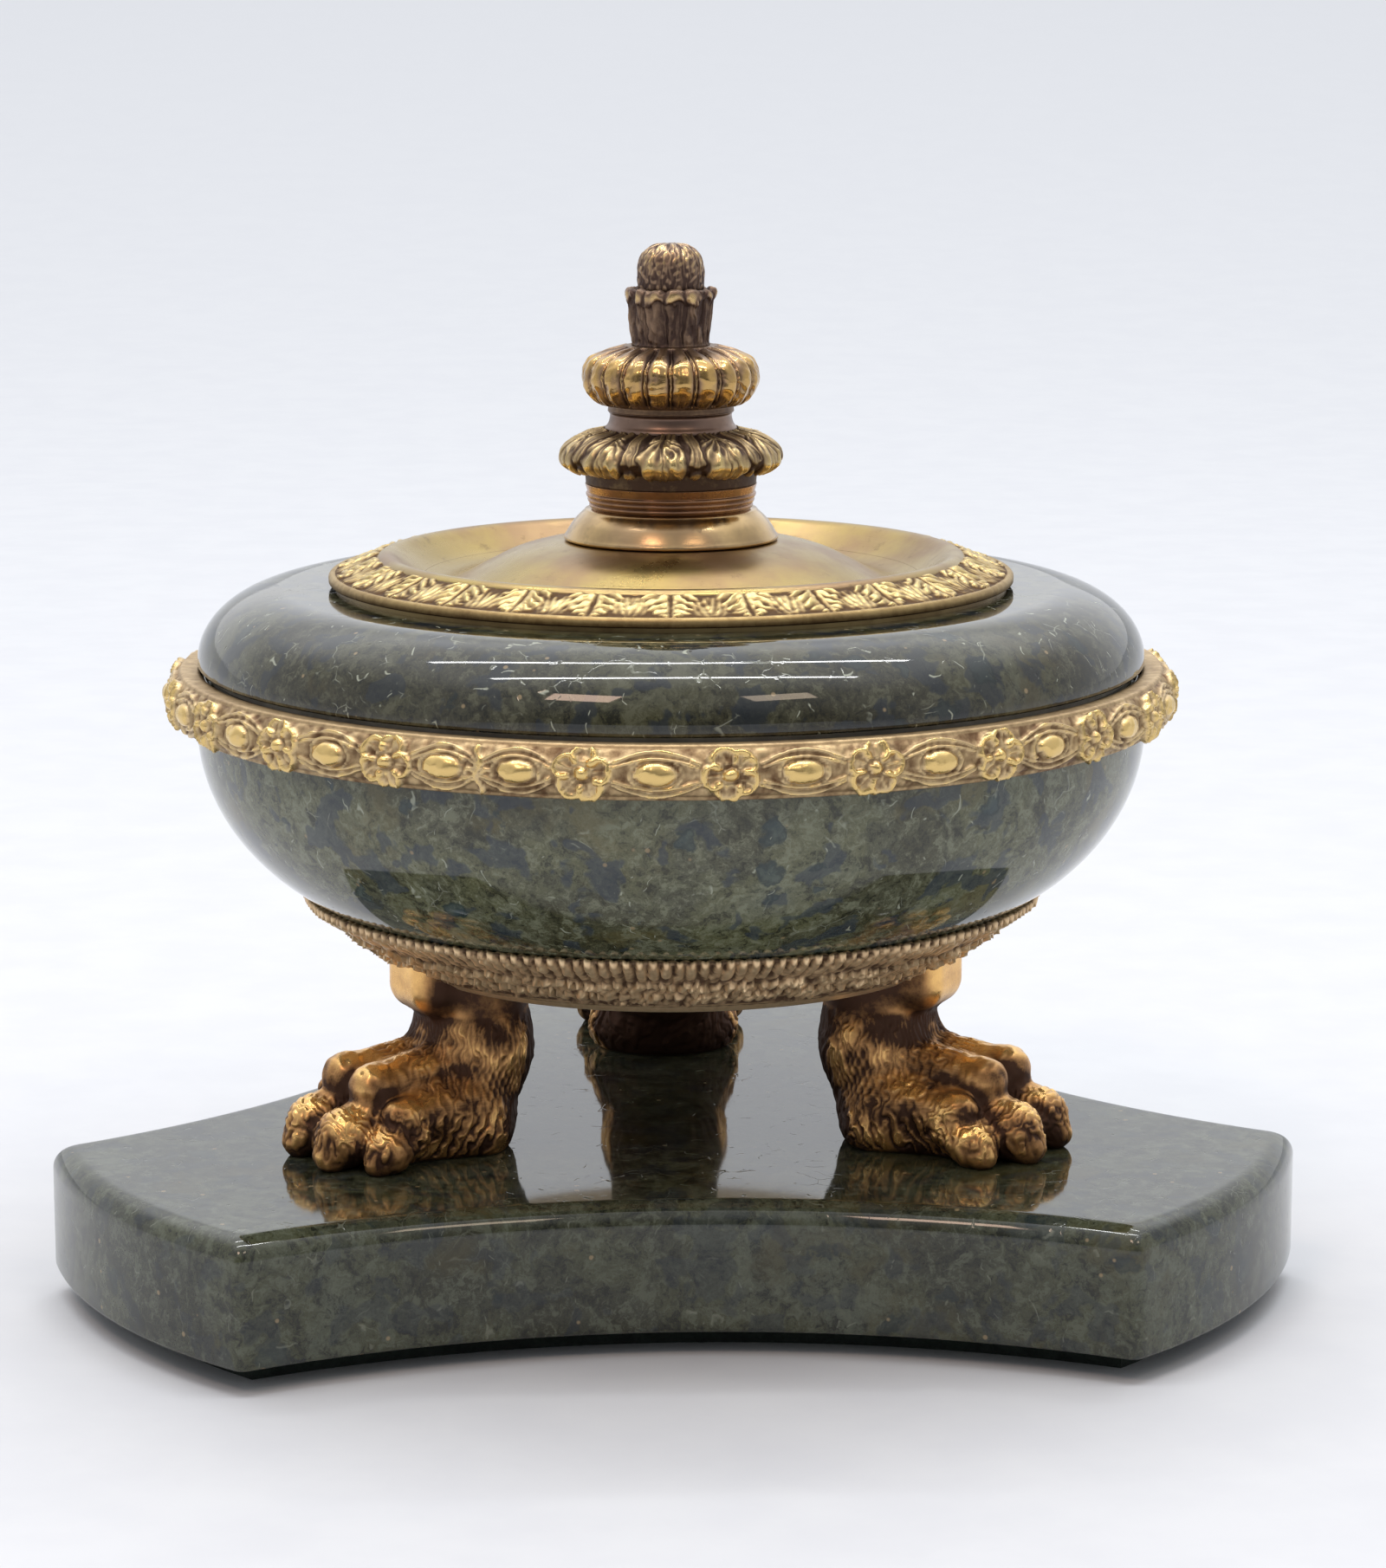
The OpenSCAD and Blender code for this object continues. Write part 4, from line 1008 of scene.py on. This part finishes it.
def calyx_relief(theta, r, z):
    """Upright folded leaves whose tips curl outwards and hang below a scalloped rim."""
    t = (z - calyx_low) / (calyx_top - calyx_low)
    pitch = 360.0 / CALYX_LEAVES
    rough = round_field(theta, 5.5, z * 0.45, 24, 0.6, 2.2, 19)
    slow = round_field(theta, 5.5, z * 0.3, 16, 2.0, 5.0, 29)
    u = nearest(theta - CALYX_START + 2.4 * rough + 3.0 * slow, pitch) / (pitch / 2.0)
    out = r > 4.8
    stem = 0.10 * np.cos(np.pi * u) - 0.12 * ridge(u, 0.12) + 0.08 * np.cos(3.0 * np.pi * u) + 0.09 * slow
    hang = 0.17 + 0.05 * slow
    lip = np.sqrt(np.clip(1.0 - ((t + 0.07 * u ** 2 - 0.985 + hang / 2.0) / (hang / 2.0)) ** 2, 0.0, 1.0))
    curl = 0.32 * lip * (0.50 + 0.50 * np.sqrt(np.clip(1.0 - (np.abs(u) / 0.86) ** 2, 0.0, 1.0)))
    height = stem * smooth(0.0, 0.10, t) * (1.0 - smooth(0.74, 0.86, t)) + curl + 0.06 * rough
    # The rounded curls are painted lighter, a painted highlight, and a band just under their hanging edge
    # darker, a painted shadow.
    tone = 0.10 + 0.26 * smooth(-0.20, 0.30, stem) + 0.46 * smooth(0.20, 0.33, curl)
    tone = tone - 0.14 * ridge(t - 0.98 + hang, 0.06) + 0.05 * rough
    return np.where(out, height, 0.0), np.where(out, tone, 0.15)


def calyx_lift(theta, r, z):
    turn = np.radians((theta - CALYX_START) * CALYX_LEAVES / 2.0)
    t = (z - calyx_low) / (calyx_top - calyx_low)
    waver = round_field(theta, 5.5, 0.0 * z, 12, 3.0, 9.0, 41)
    return (0.20 * (np.abs(np.cos(turn)) - 0.7) + 0.10 * waver) * smooth(0.85, 1.0, t)


calyx_profile = curve(above(calyx_low, [
            (4.95, 0.0), (4.85, 0.5), (4.95, 2.0), (5.15, 4.0), (5.35, 5.4),
            (5.5, 6.3)]) + [(5.45, calyx_top - 0.2), (5.0, calyx_top)], 80)
calyx_section_top = [(4.75, calyx_top - 0.4), (4.6, calyx_top - 3.0)]
calyx_section = np.vstack([
    line((ROD_R, calyx_low), (4.95, calyx_low), 4),
    calyx_profile,
    line(calyx_section_top[0], calyx_section_top[1], 6),
    line(calyx_section_top[1], (ROD_R, calyx_top - 3.0), 3),
    line((ROD_R, calyx_top - 3.0), (ROD_R, calyx_low), 3),
])
revolve("finial_calyx_leaves", calyx_section, 720, metal["finial_bronze"], "lid", ["finial_calyx"],
        "finial_bronze", relief=calyx_relief, lift=calyx_lift)

BUD_LEAVES = 9


def bud_relief(theta, r, z):
    """Tall narrow overlapping leaves on a small dome."""
    t = (z - (calyx_top - 0.5)) / (bud_top - calyx_top + 0.5)
    rough = round_field(theta, np.maximum(r, 1.5), z * 0.6, 26, 0.6, 2.0, 23)
    height = np.zeros(np.broadcast(theta, z).shape)
    for row, (foot, tip) in enumerate(((-0.40, 0.52), (-0.05, 0.84), (0.30, 1.20))):
        pitch = 360.0 / BUD_LEAVES
        u = nearest(theta + row * pitch / 2.0 + 3.0 * rough, pitch) / (pitch / 2.0)
        v = (t - foot) / (tip - foot)
        half = np.sqrt(np.clip(1.0 - np.clip(v, 0.0, 1.0) ** 3.0, 0.0, 1.0)) + 1e-3
        scale = np.clip(1.0 - (np.abs(u) / half) ** 2.6, 0.0, 1.0) * (v > 0.0) * (v < 1.0)
        groove = 0.40 * ridge(u, 0.14) + 0.22 * ridge(np.abs(u) - 0.45, 0.10)
        height = np.maximum(height, scale * (0.55 + 0.45 * v) * (1.0 - groove))
    out = (z > bud_low + 0.6) & (r > 0.25)
    shape = 0.30 * height + 0.03 * rough
    # Painted highlights: the bud is lighter towards its top, with scattered bright glints.
    specks = round_field(theta, 3.5, z, 22, 0.5, 1.2, 43)
    lit = 0.35 + 0.60 * smooth(0.2, 0.85, t)
    tone = 0.03 + 0.60 * smooth(0.25, 0.90, height) * lit + 0.30 * np.clip(specks, 0.0, 1.0)
    return np.where(out, shape * smooth(0.6, 2.2, r), 0.0), np.where(out, tone, 0.1)


def build_bud():
    """The bud's dome, closed at its top by a ring too small to see."""
    profile = curve([(3.85, bud_low + 0.3), (3.9, bud_low + 2.6),
                     (4.0, calyx_top + 0.2), (4.0, calyx_top + 2.0),
                     (3.88, calyx_top + 3.2), (3.55, calyx_top + 4.1), (2.8, calyx_top + 4.85),
                     (1.5, bud_top - 0.55), (0.25, bud_top - 0.35)], 96)
    section = np.vstack([profile, line((0.02, bud_top - 0.35), (0.02, bud_low), 6),
                         line((0.02, bud_low), (3.7, bud_low), 4), [[3.7, bud_low]]])
    revolve("finial_bud_scales", section, 540, metal["finial_bronze"], "lid", ["finial_bud"], "finial_bronze",
            relief=bud_relief)


build_bud()


# ---------------------------------------------------------------- paws

CELL = 0.2
PAW_LOW = np.array([22.0, -13.5, -1.2])
PAW_HIGH = np.array([58.5, 13.5, 25.2])


class Clay:
    """A signed distance field that shapes are blended into, in the paw's own millimetres."""

    def __init__(self, low, high, cell):
        self.low, self.cell = low, cell
        count = np.ceil((high - low) / cell).astype(int) + 1
        self.axes = [low[k] + cell * np.arange(count[k]) for k in range(3)]
        self.field = np.full(count, 6.0, np.float32)

    def window(self, low, high):
        """Slices of the grid that cover a box, and the open grid of its coordinates."""
        cut = [slice(max(0, int(np.searchsorted(a, lo)) - 1), int(np.searchsorted(a, hi)) + 1)
               for a, lo, hi in zip(self.axes, low, high)]
        x, y, z = (a[c].astype(np.float32) for a, c in zip(self.axes, cut))
        return tuple(cut), (x[:, None, None], y[None, :, None], z[None, None, :])

    def blend(self, cut, distance, melt):
        old = self.field[cut]
        if melt > 0.0:
            h = np.clip(0.5 + 0.5 * (old - distance) / melt, 0.0, 1.0)
            self.field[cut] = old * (1.0 - h) + distance * h - melt * h * (1.0 - h)
        else:
            self.field[cut] = np.minimum(old, distance)

    def limb(self, a, b, ra, rb, melt=1.0, flat=1.0):
        """A tapered rod with round ends; flat squeezes it sideways about its middle."""
        a, b = np.array(a, float), np.array(b, float)
        pad = max(ra, rb) * max(1.0, flat) + melt + 1.5
        cut, (x, y, z) = self.window(np.minimum(a, b) - pad, np.maximum(a, b) + pad)
        d = b - a
        t = ((x - a[0]) * d[0] + (y - a[1]) * d[1] + (z - a[2]) * d[2]) / float(d @ d)
        t = np.clip(t, 0.0, 1.0)
        radius = ra + (rb - ra) * t
        gap = np.sqrt((x - a[0] - t * d[0]) ** 2 + ((y - a[1] - t * d[1]) / flat) ** 2
                      + (z - a[2] - t * d[2]) ** 2)
        self.blend(cut, gap - radius, melt)

    def ball(self, centre, radii, melt=1.0):
        centre, radii = np.array(centre, float), np.array(radii, float)
        pad = radii + melt + 1.5
        cut, (x, y, z) = self.window(centre - pad, centre + pad)
        k = np.sqrt(((x - centre[0]) / radii[0]) ** 2 + ((y - centre[1]) / radii[1]) ** 2
                    + ((z - centre[2]) / radii[2]) ** 2)
        self.blend(cut, (k - 1.0) * float(radii.min()), melt)

    def block(self, low, high, soft, melt=0.6):
        low, high = np.array(low, float), np.array(high, float)
        centre, half = (low + high) / 2.0, (high - low) / 2.0 - soft
        pad = melt + 1.5
        cut, (x, y, z) = self.window(low - pad, high + pad)
        qx, qy, qz = (np.abs(v - c) - h for v, c, h in zip((x, y, z), centre, half))
        outer = np.sqrt(np.maximum(qx, 0) ** 2 + np.maximum(qy, 0) ** 2 + np.maximum(qz, 0) ** 2)
        inner = np.minimum(np.maximum(qx, np.maximum(qy, qz)), 0.0)
        self.blend(cut, outer + inner - soft, melt)

    def keep_above(self, height):
        z = self.axes[2][None, None, :].astype(np.float32)
        self.field = np.maximum(self.field, height - z)

    def beside(self, points):
        """The distance field at points, from the nearest cell."""
        cell = np.rint((points - self.low) / self.cell).astype(int)
        cell = np.clip(cell, 0, np.array(self.field.shape) - 1)
        return self.field[tuple(cell.T)]


def paw_clay():
    """A lion's foot: x outwards from the bowl's axis, y across, z up from the plinth."""
    clay = Clay(PAW_LOW, PAW_HIGH, CELL)
    clay.limb((29.7, 0, 22.0), (29.6, 0, 12.0), 6.7, 6.9, 0.0, 1.08)
    clay.limb((29.8, 0, 12.5), (31.8, 0, 4.0), 7.1, 6.6, 2.0, 1.20)
    clay.limb((32.4, 0, 3.0), (42.0, 0, 2.6), 5.9, 4.6, 2.0, 1.72)
    clay.ball((37.4, 0, 6.6), (8.4, 7.6, 5.0), 2.5)
    clay.ball((40.5, 0, 8.4), (6.5, 4.6, 3.0), 2.0)
    for side in (-1.0, 1.0):
        clay.limb((33.6, side * 2.6, 10.9), (45.2, side * 3.5, 9.8), 2.8, 2.4, 2.2)
        clay.ball((45.7, side * 3.55, 9.6), (3.15, 3.0, 2.85), 0.7)
        clay.limb((45.2, side * 3.6, 7.0), (48.6, side * 3.8, 4.4), 2.9, 2.9, 1.2)
        clay.ball((50.0, side * 3.95, 3.9), (3.7, 3.6, 3.6), 1.2)
        clay.limb((50.8, side * 4.0, 2.8), (52.0, side * 4.1, 1.9), 3.1, 2.3, 1.0)
        clay.limb((33.5, side * 6.0, 6.2), (43.4, side * 8.0, 6.2), 2.8, 2.1, 2.2)
        clay.ball((44.2, side * 8.3, 6.6), (2.9, 2.3, 2.2), 0.6)
        clay.limb((43.0, side * 8.4, 4.4), (46.0, side * 8.8, 3.0), 2.2, 2.3, 1.1)
        clay.ball((46.6, side * 8.9, 2.8), (3.1, 2.7, 2.7), 1.0)
        clay.limb((47.2, side * 9.1, 2.0), (48.2, side * 9.2, 1.4), 2.4, 1.8, 0.8)
        clay.ball((44.5, side * 6.3, 3.2), (4.0, 2.4, 3.2), 1.2)
    clay.ball((49.6, 0, 2.6), (2.6, 1.8, 2.6), 1.2)
    clay.block((24.2, -5.7, 17.3), (39.7, 5.7, 30.0), 3.4, 1.8)
    clay.keep_above(0.0)
    return clay


def paw_fur(clay, p, n):
    """Heights of the chased hair, locks and wrinkles at points p with normals n, and the tone, which holds
    painted light and shade.
    """
    x, y, z = p.T
    rough = waves(p, 26, 1.1, 3.4, 31)
    broad = waves(p, 16, 4.0, 9.0, 37)
    toes = smooth(40.0, 43.5, x + 0.35 * (10.0 - z))
    around = 7.4 * np.arctan2(y, x - 30.0)
    row = z / 1.05 + 0.14 * broad
    dash = np.cos(2.0 * np.pi * (around / 0.80 + 0.5 * np.floor(row)) + 0.5 * rough)
    scaly = smooth(6.0, 7.4, z) * (1.0 - smooth(10.6, 12.2, z + broad))
    scaly = scaly * (1.0 - smooth(32.5, 35.0, x + broad)) * smooth(26.2, 28.0, x)
    hair = 0.14 * (dash * np.sin(np.pi * (row % 1.0)) ** 0.6 - 0.2) * scaly
    fine = 0.075 * np.cos(2.0 * np.pi * around / 0.64 + 2.2 * rough)
    fine = fine * (1.0 - scaly) * (1.0 - smooth(16.0, 17.0, z))
    heel = smooth(-0.42, -0.70, n[:, 0]) * (1.0 - smooth(15.5, 17.5, z))
    flank = smooth(27.6, 25.4, x) * (1.0 - smooth(15.0, 17.0, z)) * (1.0 - heel)
    hem = (1.0 - smooth(3.6, 6.4, z + 0.9 * rough)) * (1.0 - smooth(43.0, 45.5, x))
    locks = np.maximum(np.maximum(heel, hem), flank)
    swirl = x * 0.95 + 0.50 * z + 0.50 * broad + 0.30 * rough
    sweep = np.where(np.maximum(heel, flank) > hem, 1.1 * x - 0.30 * z + 0.60 * broad, swirl)
    strand = 0.50 * (np.abs(np.sin(np.pi * sweep / 1.7)) - 0.6) + 0.10 * np.cos(2.0 * np.pi * sweep / 0.62)
    strand = strand * (1.0 - 0.70 * heel)
    outer = np.abs(y) < 6.5
    spread = np.arctan2(y - np.where(outer, 3.95, 9.0) * np.sign(y), np.where(outer, 53.8, 49.6) - x + 0.6)
    low_toe = smooth(46.4, 47.8, x + 3.4 * ~outer) * (1.0 - smooth(5.0, 6.2, z + 1.3 * ~outer))
    tuft = 0.27 * (np.abs(np.sin(3.4 * spread + 0.5 * rough)) - 0.6) * low_toe * smooth(0.4, 1.6, z)
    creases = 0.085 * np.cos(2.0 * np.pi * (x - 0.8 * z + 0.5 * rough) / 1.4) * toes * smooth(
        2.6, 3.6, z) * (1.0 - smooth(7.0, 8.2, z))
    height = (hair + fine) * (1.0 - locks) * (1.0 - toes) + strand * locks + tuft + creases
    height = height + 0.04 * rough
    height *= smooth(0.1, 0.8, z) * (1.0 - smooth(17.0, 18.2, z))
    # Painted shade: darker in creases, where other surfaces lie close in front of a point, and on the instep.
    crease_shade = 1.0 - np.clip(clay.beside(p + 1.6 * n) / 1.5, 0.0, 1.0)
    instep_shade = ridge(x - 37.5, 4.5) * ridge(z - 9.0, 3.6) * (1.0 - smooth(0.1, 0.8, n[:, 2]))
    # Painted light and shade: faces turned up and the toes' tops lighter, the heel darker.
    tone = 0.44 + 1.3 * height + 0.11 * broad + 0.14 * n[:, 2] - 0.04 * toes - 0.95 * crease_shade - 0.30 * instep_shade
    tone = tone + 0.14 * flank + 0.20 * hem - 0.80 * heel + 0.22 * toes * smooth(0.45, 0.9, n[:, 2])
    bracket = smooth(16.8, 17.8, z)
    # Painted shade just below the bracket and on faces turned down; the bracket is painted lighter on faces
    # turned outwards and darker on the heel side.
    tone = tone - 0.24 * smooth(12.2, 14.8, z) * (1.0 - bracket) - 0.25 * smooth(0.2, 0.8, -n[:, 2])
    bracket_light_and_shade = 0.56 * smooth(0.30, 0.95, n[:, 0]) + 0.10 + 0.05 * broad - 0.1 * heel
    return height, tone * (1.0 - bracket) + bracket_light_and_shade * bracket


def build_paws():
    clay = paw_clay()
    verts, quads = surface_net(clay.field, clay.low, CELL)
    normals = vertex_normals(verts, quads)
    height, tone = paw_fur(clay, verts, normals)
    verts = verts + normals * height[:, None]
    verts[:, 2] = np.clip(verts[:, 2], 0.0, None)
    distance = verts[:, 0]
    under = np.where(distance < 34.3, cradle_low + 0.2, cradle_low + 0.2 + (distance - 34.3) * 0.72) - floor_z
    verts[:, 2] = np.minimum(verts[:, 2], under)
    faces = quads.tolist()
    for name, angle in (("left", -150.0), ("right", -30.0), ("rear", 90.0)):
        a = math.radians(angle)
        turned = np.stack([verts[:, 0] * math.cos(a) - verts[:, 1] * math.sin(a),
                           verts[:, 0] * math.sin(a) + verts[:, 1] * math.cos(a),
                           verts[:, 2] + floor_z], axis=1)
        make_object("lion_paw_" + name, turned, faces, metal["paw_bronze"], "base", ["paw_" + name],
                    tone)


build_paws()


# ---------------------------------------------------------------- stage, light and camera

def sweep_material():
    """Pale paper painted lighter away from the object, painted light that evens out the sweep's brightness.
    """
    material, tree, shader = new_material("paper_sweep")
    at = place(tree)
    fibre = noise(tree, at, 60.0, 4.0, 0.6)
    near = mix(tree, grade(tree, fibre, 0.3, 0.7), (0.600, 0.610, 0.635), (0.625, 0.635, 0.655))
    away = add(tree, "ShaderNodeSeparateXYZ", [(0, at)]).outputs[1]
    put(tree, shader.inputs["Base Color"], mix(tree, grade(tree, away, 0.4, 2.4), near, (0.71, 0.72, 0.74)))
    shader.inputs["Roughness"].default_value = 0.75
    return material


def build_sweep():
    """A pale paper sweep: flat under the object, rising gently behind it and far in front."""
    flat_end, depth, rise, half = 0.80, 1.9, 0.40, 2.4
    front_end, front_depth = -1.3, 2.2
    steps = np.linspace(0.0, 1.0, 16)
    run = [(front_end - front_depth * t, rise * t * t) for t in steps[::-1]]
    run += [(flat_end + depth * t, rise * t * t) for t in steps]
    verts = [(side * half, y, z) for y, z in run for side in (-1.0, 1.0)]
    faces = [(2 * k, 2 * k + 1, 2 * k + 3, 2 * k + 2) for k in range(len(run) - 1)]
    mesh = bpy.data.meshes.new("paper_sweep")
    mesh.from_pydata(verts, [], faces)
    mesh.polygons.foreach_set("use_smooth", [True] * len(faces))
    mesh.materials.append(sweep_material())
    sweep = bpy.data.objects.new("paper_sweep", mesh)
    bpy.context.scene.collection.objects.link(sweep)


def area_light(name, size_x, size_y, power, place_at, aim, colour=(1.0, 1.0, 1.0)):
    data = bpy.data.lights.new(name, "AREA")
    data.shape = "RECTANGLE"
    data.size, data.size_y = size_x, size_y
    data.energy = power
    data.color = colour
    light = bpy.data.objects.new(name, data)
    bpy.context.scene.collection.objects.link(light)
    light.location = place_at
    light.rotation_euler = (Vector(aim) - Vector(place_at)).to_track_quat("-Z", "Y").to_euler()
    return light


build_sweep()
area_light("strip_back", 1.35, 0.040, 4.6, (0.0, 0.50, 1.40), (0.0, 0.0, 0.08), (0.98, 0.99, 1.0))
area_light("strip_top", 1.35, 0.042, 5.4, (0.0, -0.12, 1.40), (0.0, 0.0, 0.08), (0.98, 0.99, 1.0))
area_light("lamp_left", 0.38, 0.30, 3.2, (-0.51, -0.95, 1.30), (0.0, 0.0, 0.08), (1.0, 0.70, 0.54))
area_light("lamp_right", 0.38, 0.26, 1.6, (0.55, -0.95, 1.30), (0.0, 0.0, 0.08), (1.0, 0.80, 0.60))


ROOM_FRONT, ROOM_SIDE, ROOM_BACK, ROOM_ABOVE, ROOM_PANEL = 0.17, 0.72, 1.18, 0.68, 0.95


def build_room():
    """Surroundings like a light tent: pale at the sides, a bright soft ceiling, dim in front."""
    world = bpy.data.worlds.new("room")
    world.use_nodes = True
    tree = world.node_tree
    way = add(tree, "ShaderNodeSeparateXYZ", [(0, add(tree, "ShaderNodeTexCoord").outputs["Generated"])])
    x, y, z = (way.outputs[k] for k in range(3))
    low = plus(tree, grade(tree, y, -0.95, -0.45, ROOM_FRONT, ROOM_SIDE), grade(
        tree, y, 0.20, 0.90, 0.0, ROOM_BACK - ROOM_SIDE))
    rise = grade(tree, z, 0.30, 0.95)
    walls = plus(tree, times(tree, rise, ROOM_ABOVE), times(tree, minus(tree, 1.0, rise), low))
    middle = grade(tree, maths(tree, "ABSOLUTE", x), 0.45, 0.85, 1.0, 0.0)
    rear = times(tree, grade(tree, y, -0.50, -0.05), middle)
    panel = times(tree, grade(tree, z, 0.42, 0.66), rear)
    back = tree.nodes["Background"]
    back.inputs["Color"].default_value = (0.94, 0.96, 1.0, 1.0)
    put(tree, back.inputs["Strength"], plus(tree, walls, times(tree, panel, ROOM_PANEL)))
    bpy.context.scene.world = world


build_room()
bpy.context.scene.view_settings.view_transform = "Standard"

# The camera looks past the bowl's axis from in front, a little above, turned so that the plinth
# stands 2.34 degrees round from square.
TURN = math.radians(-2.34)
PITCH = math.radians(10.51)
ROLL = math.radians(0.03)
FOCAL_PX = 5000.0
FRAME_PX = 1810.0
CAMERA_X, CAMERA_Y, CAMERA_Z = 2.82, -547.28, 163.05

data = bpy.data.cameras.new("camera")
data.sensor_width = 36.0
data.lens = FOCAL_PX / FRAME_PX * 36.0
data.clip_start = 0.01
camera = bpy.data.objects.new("camera", data)
bpy.context.scene.collection.objects.link(camera)
camera.location = (MM * (CAMERA_X * math.cos(TURN) - CAMERA_Y * math.sin(TURN)),
                   MM * (CAMERA_X * math.sin(TURN) + CAMERA_Y * math.cos(TURN)), MM * CAMERA_Z)
camera.rotation_mode = "XYZ"
camera.rotation_euler = (math.pi / 2.0 - PITCH, ROLL, TURN)
bpy.context.scene.camera = camera
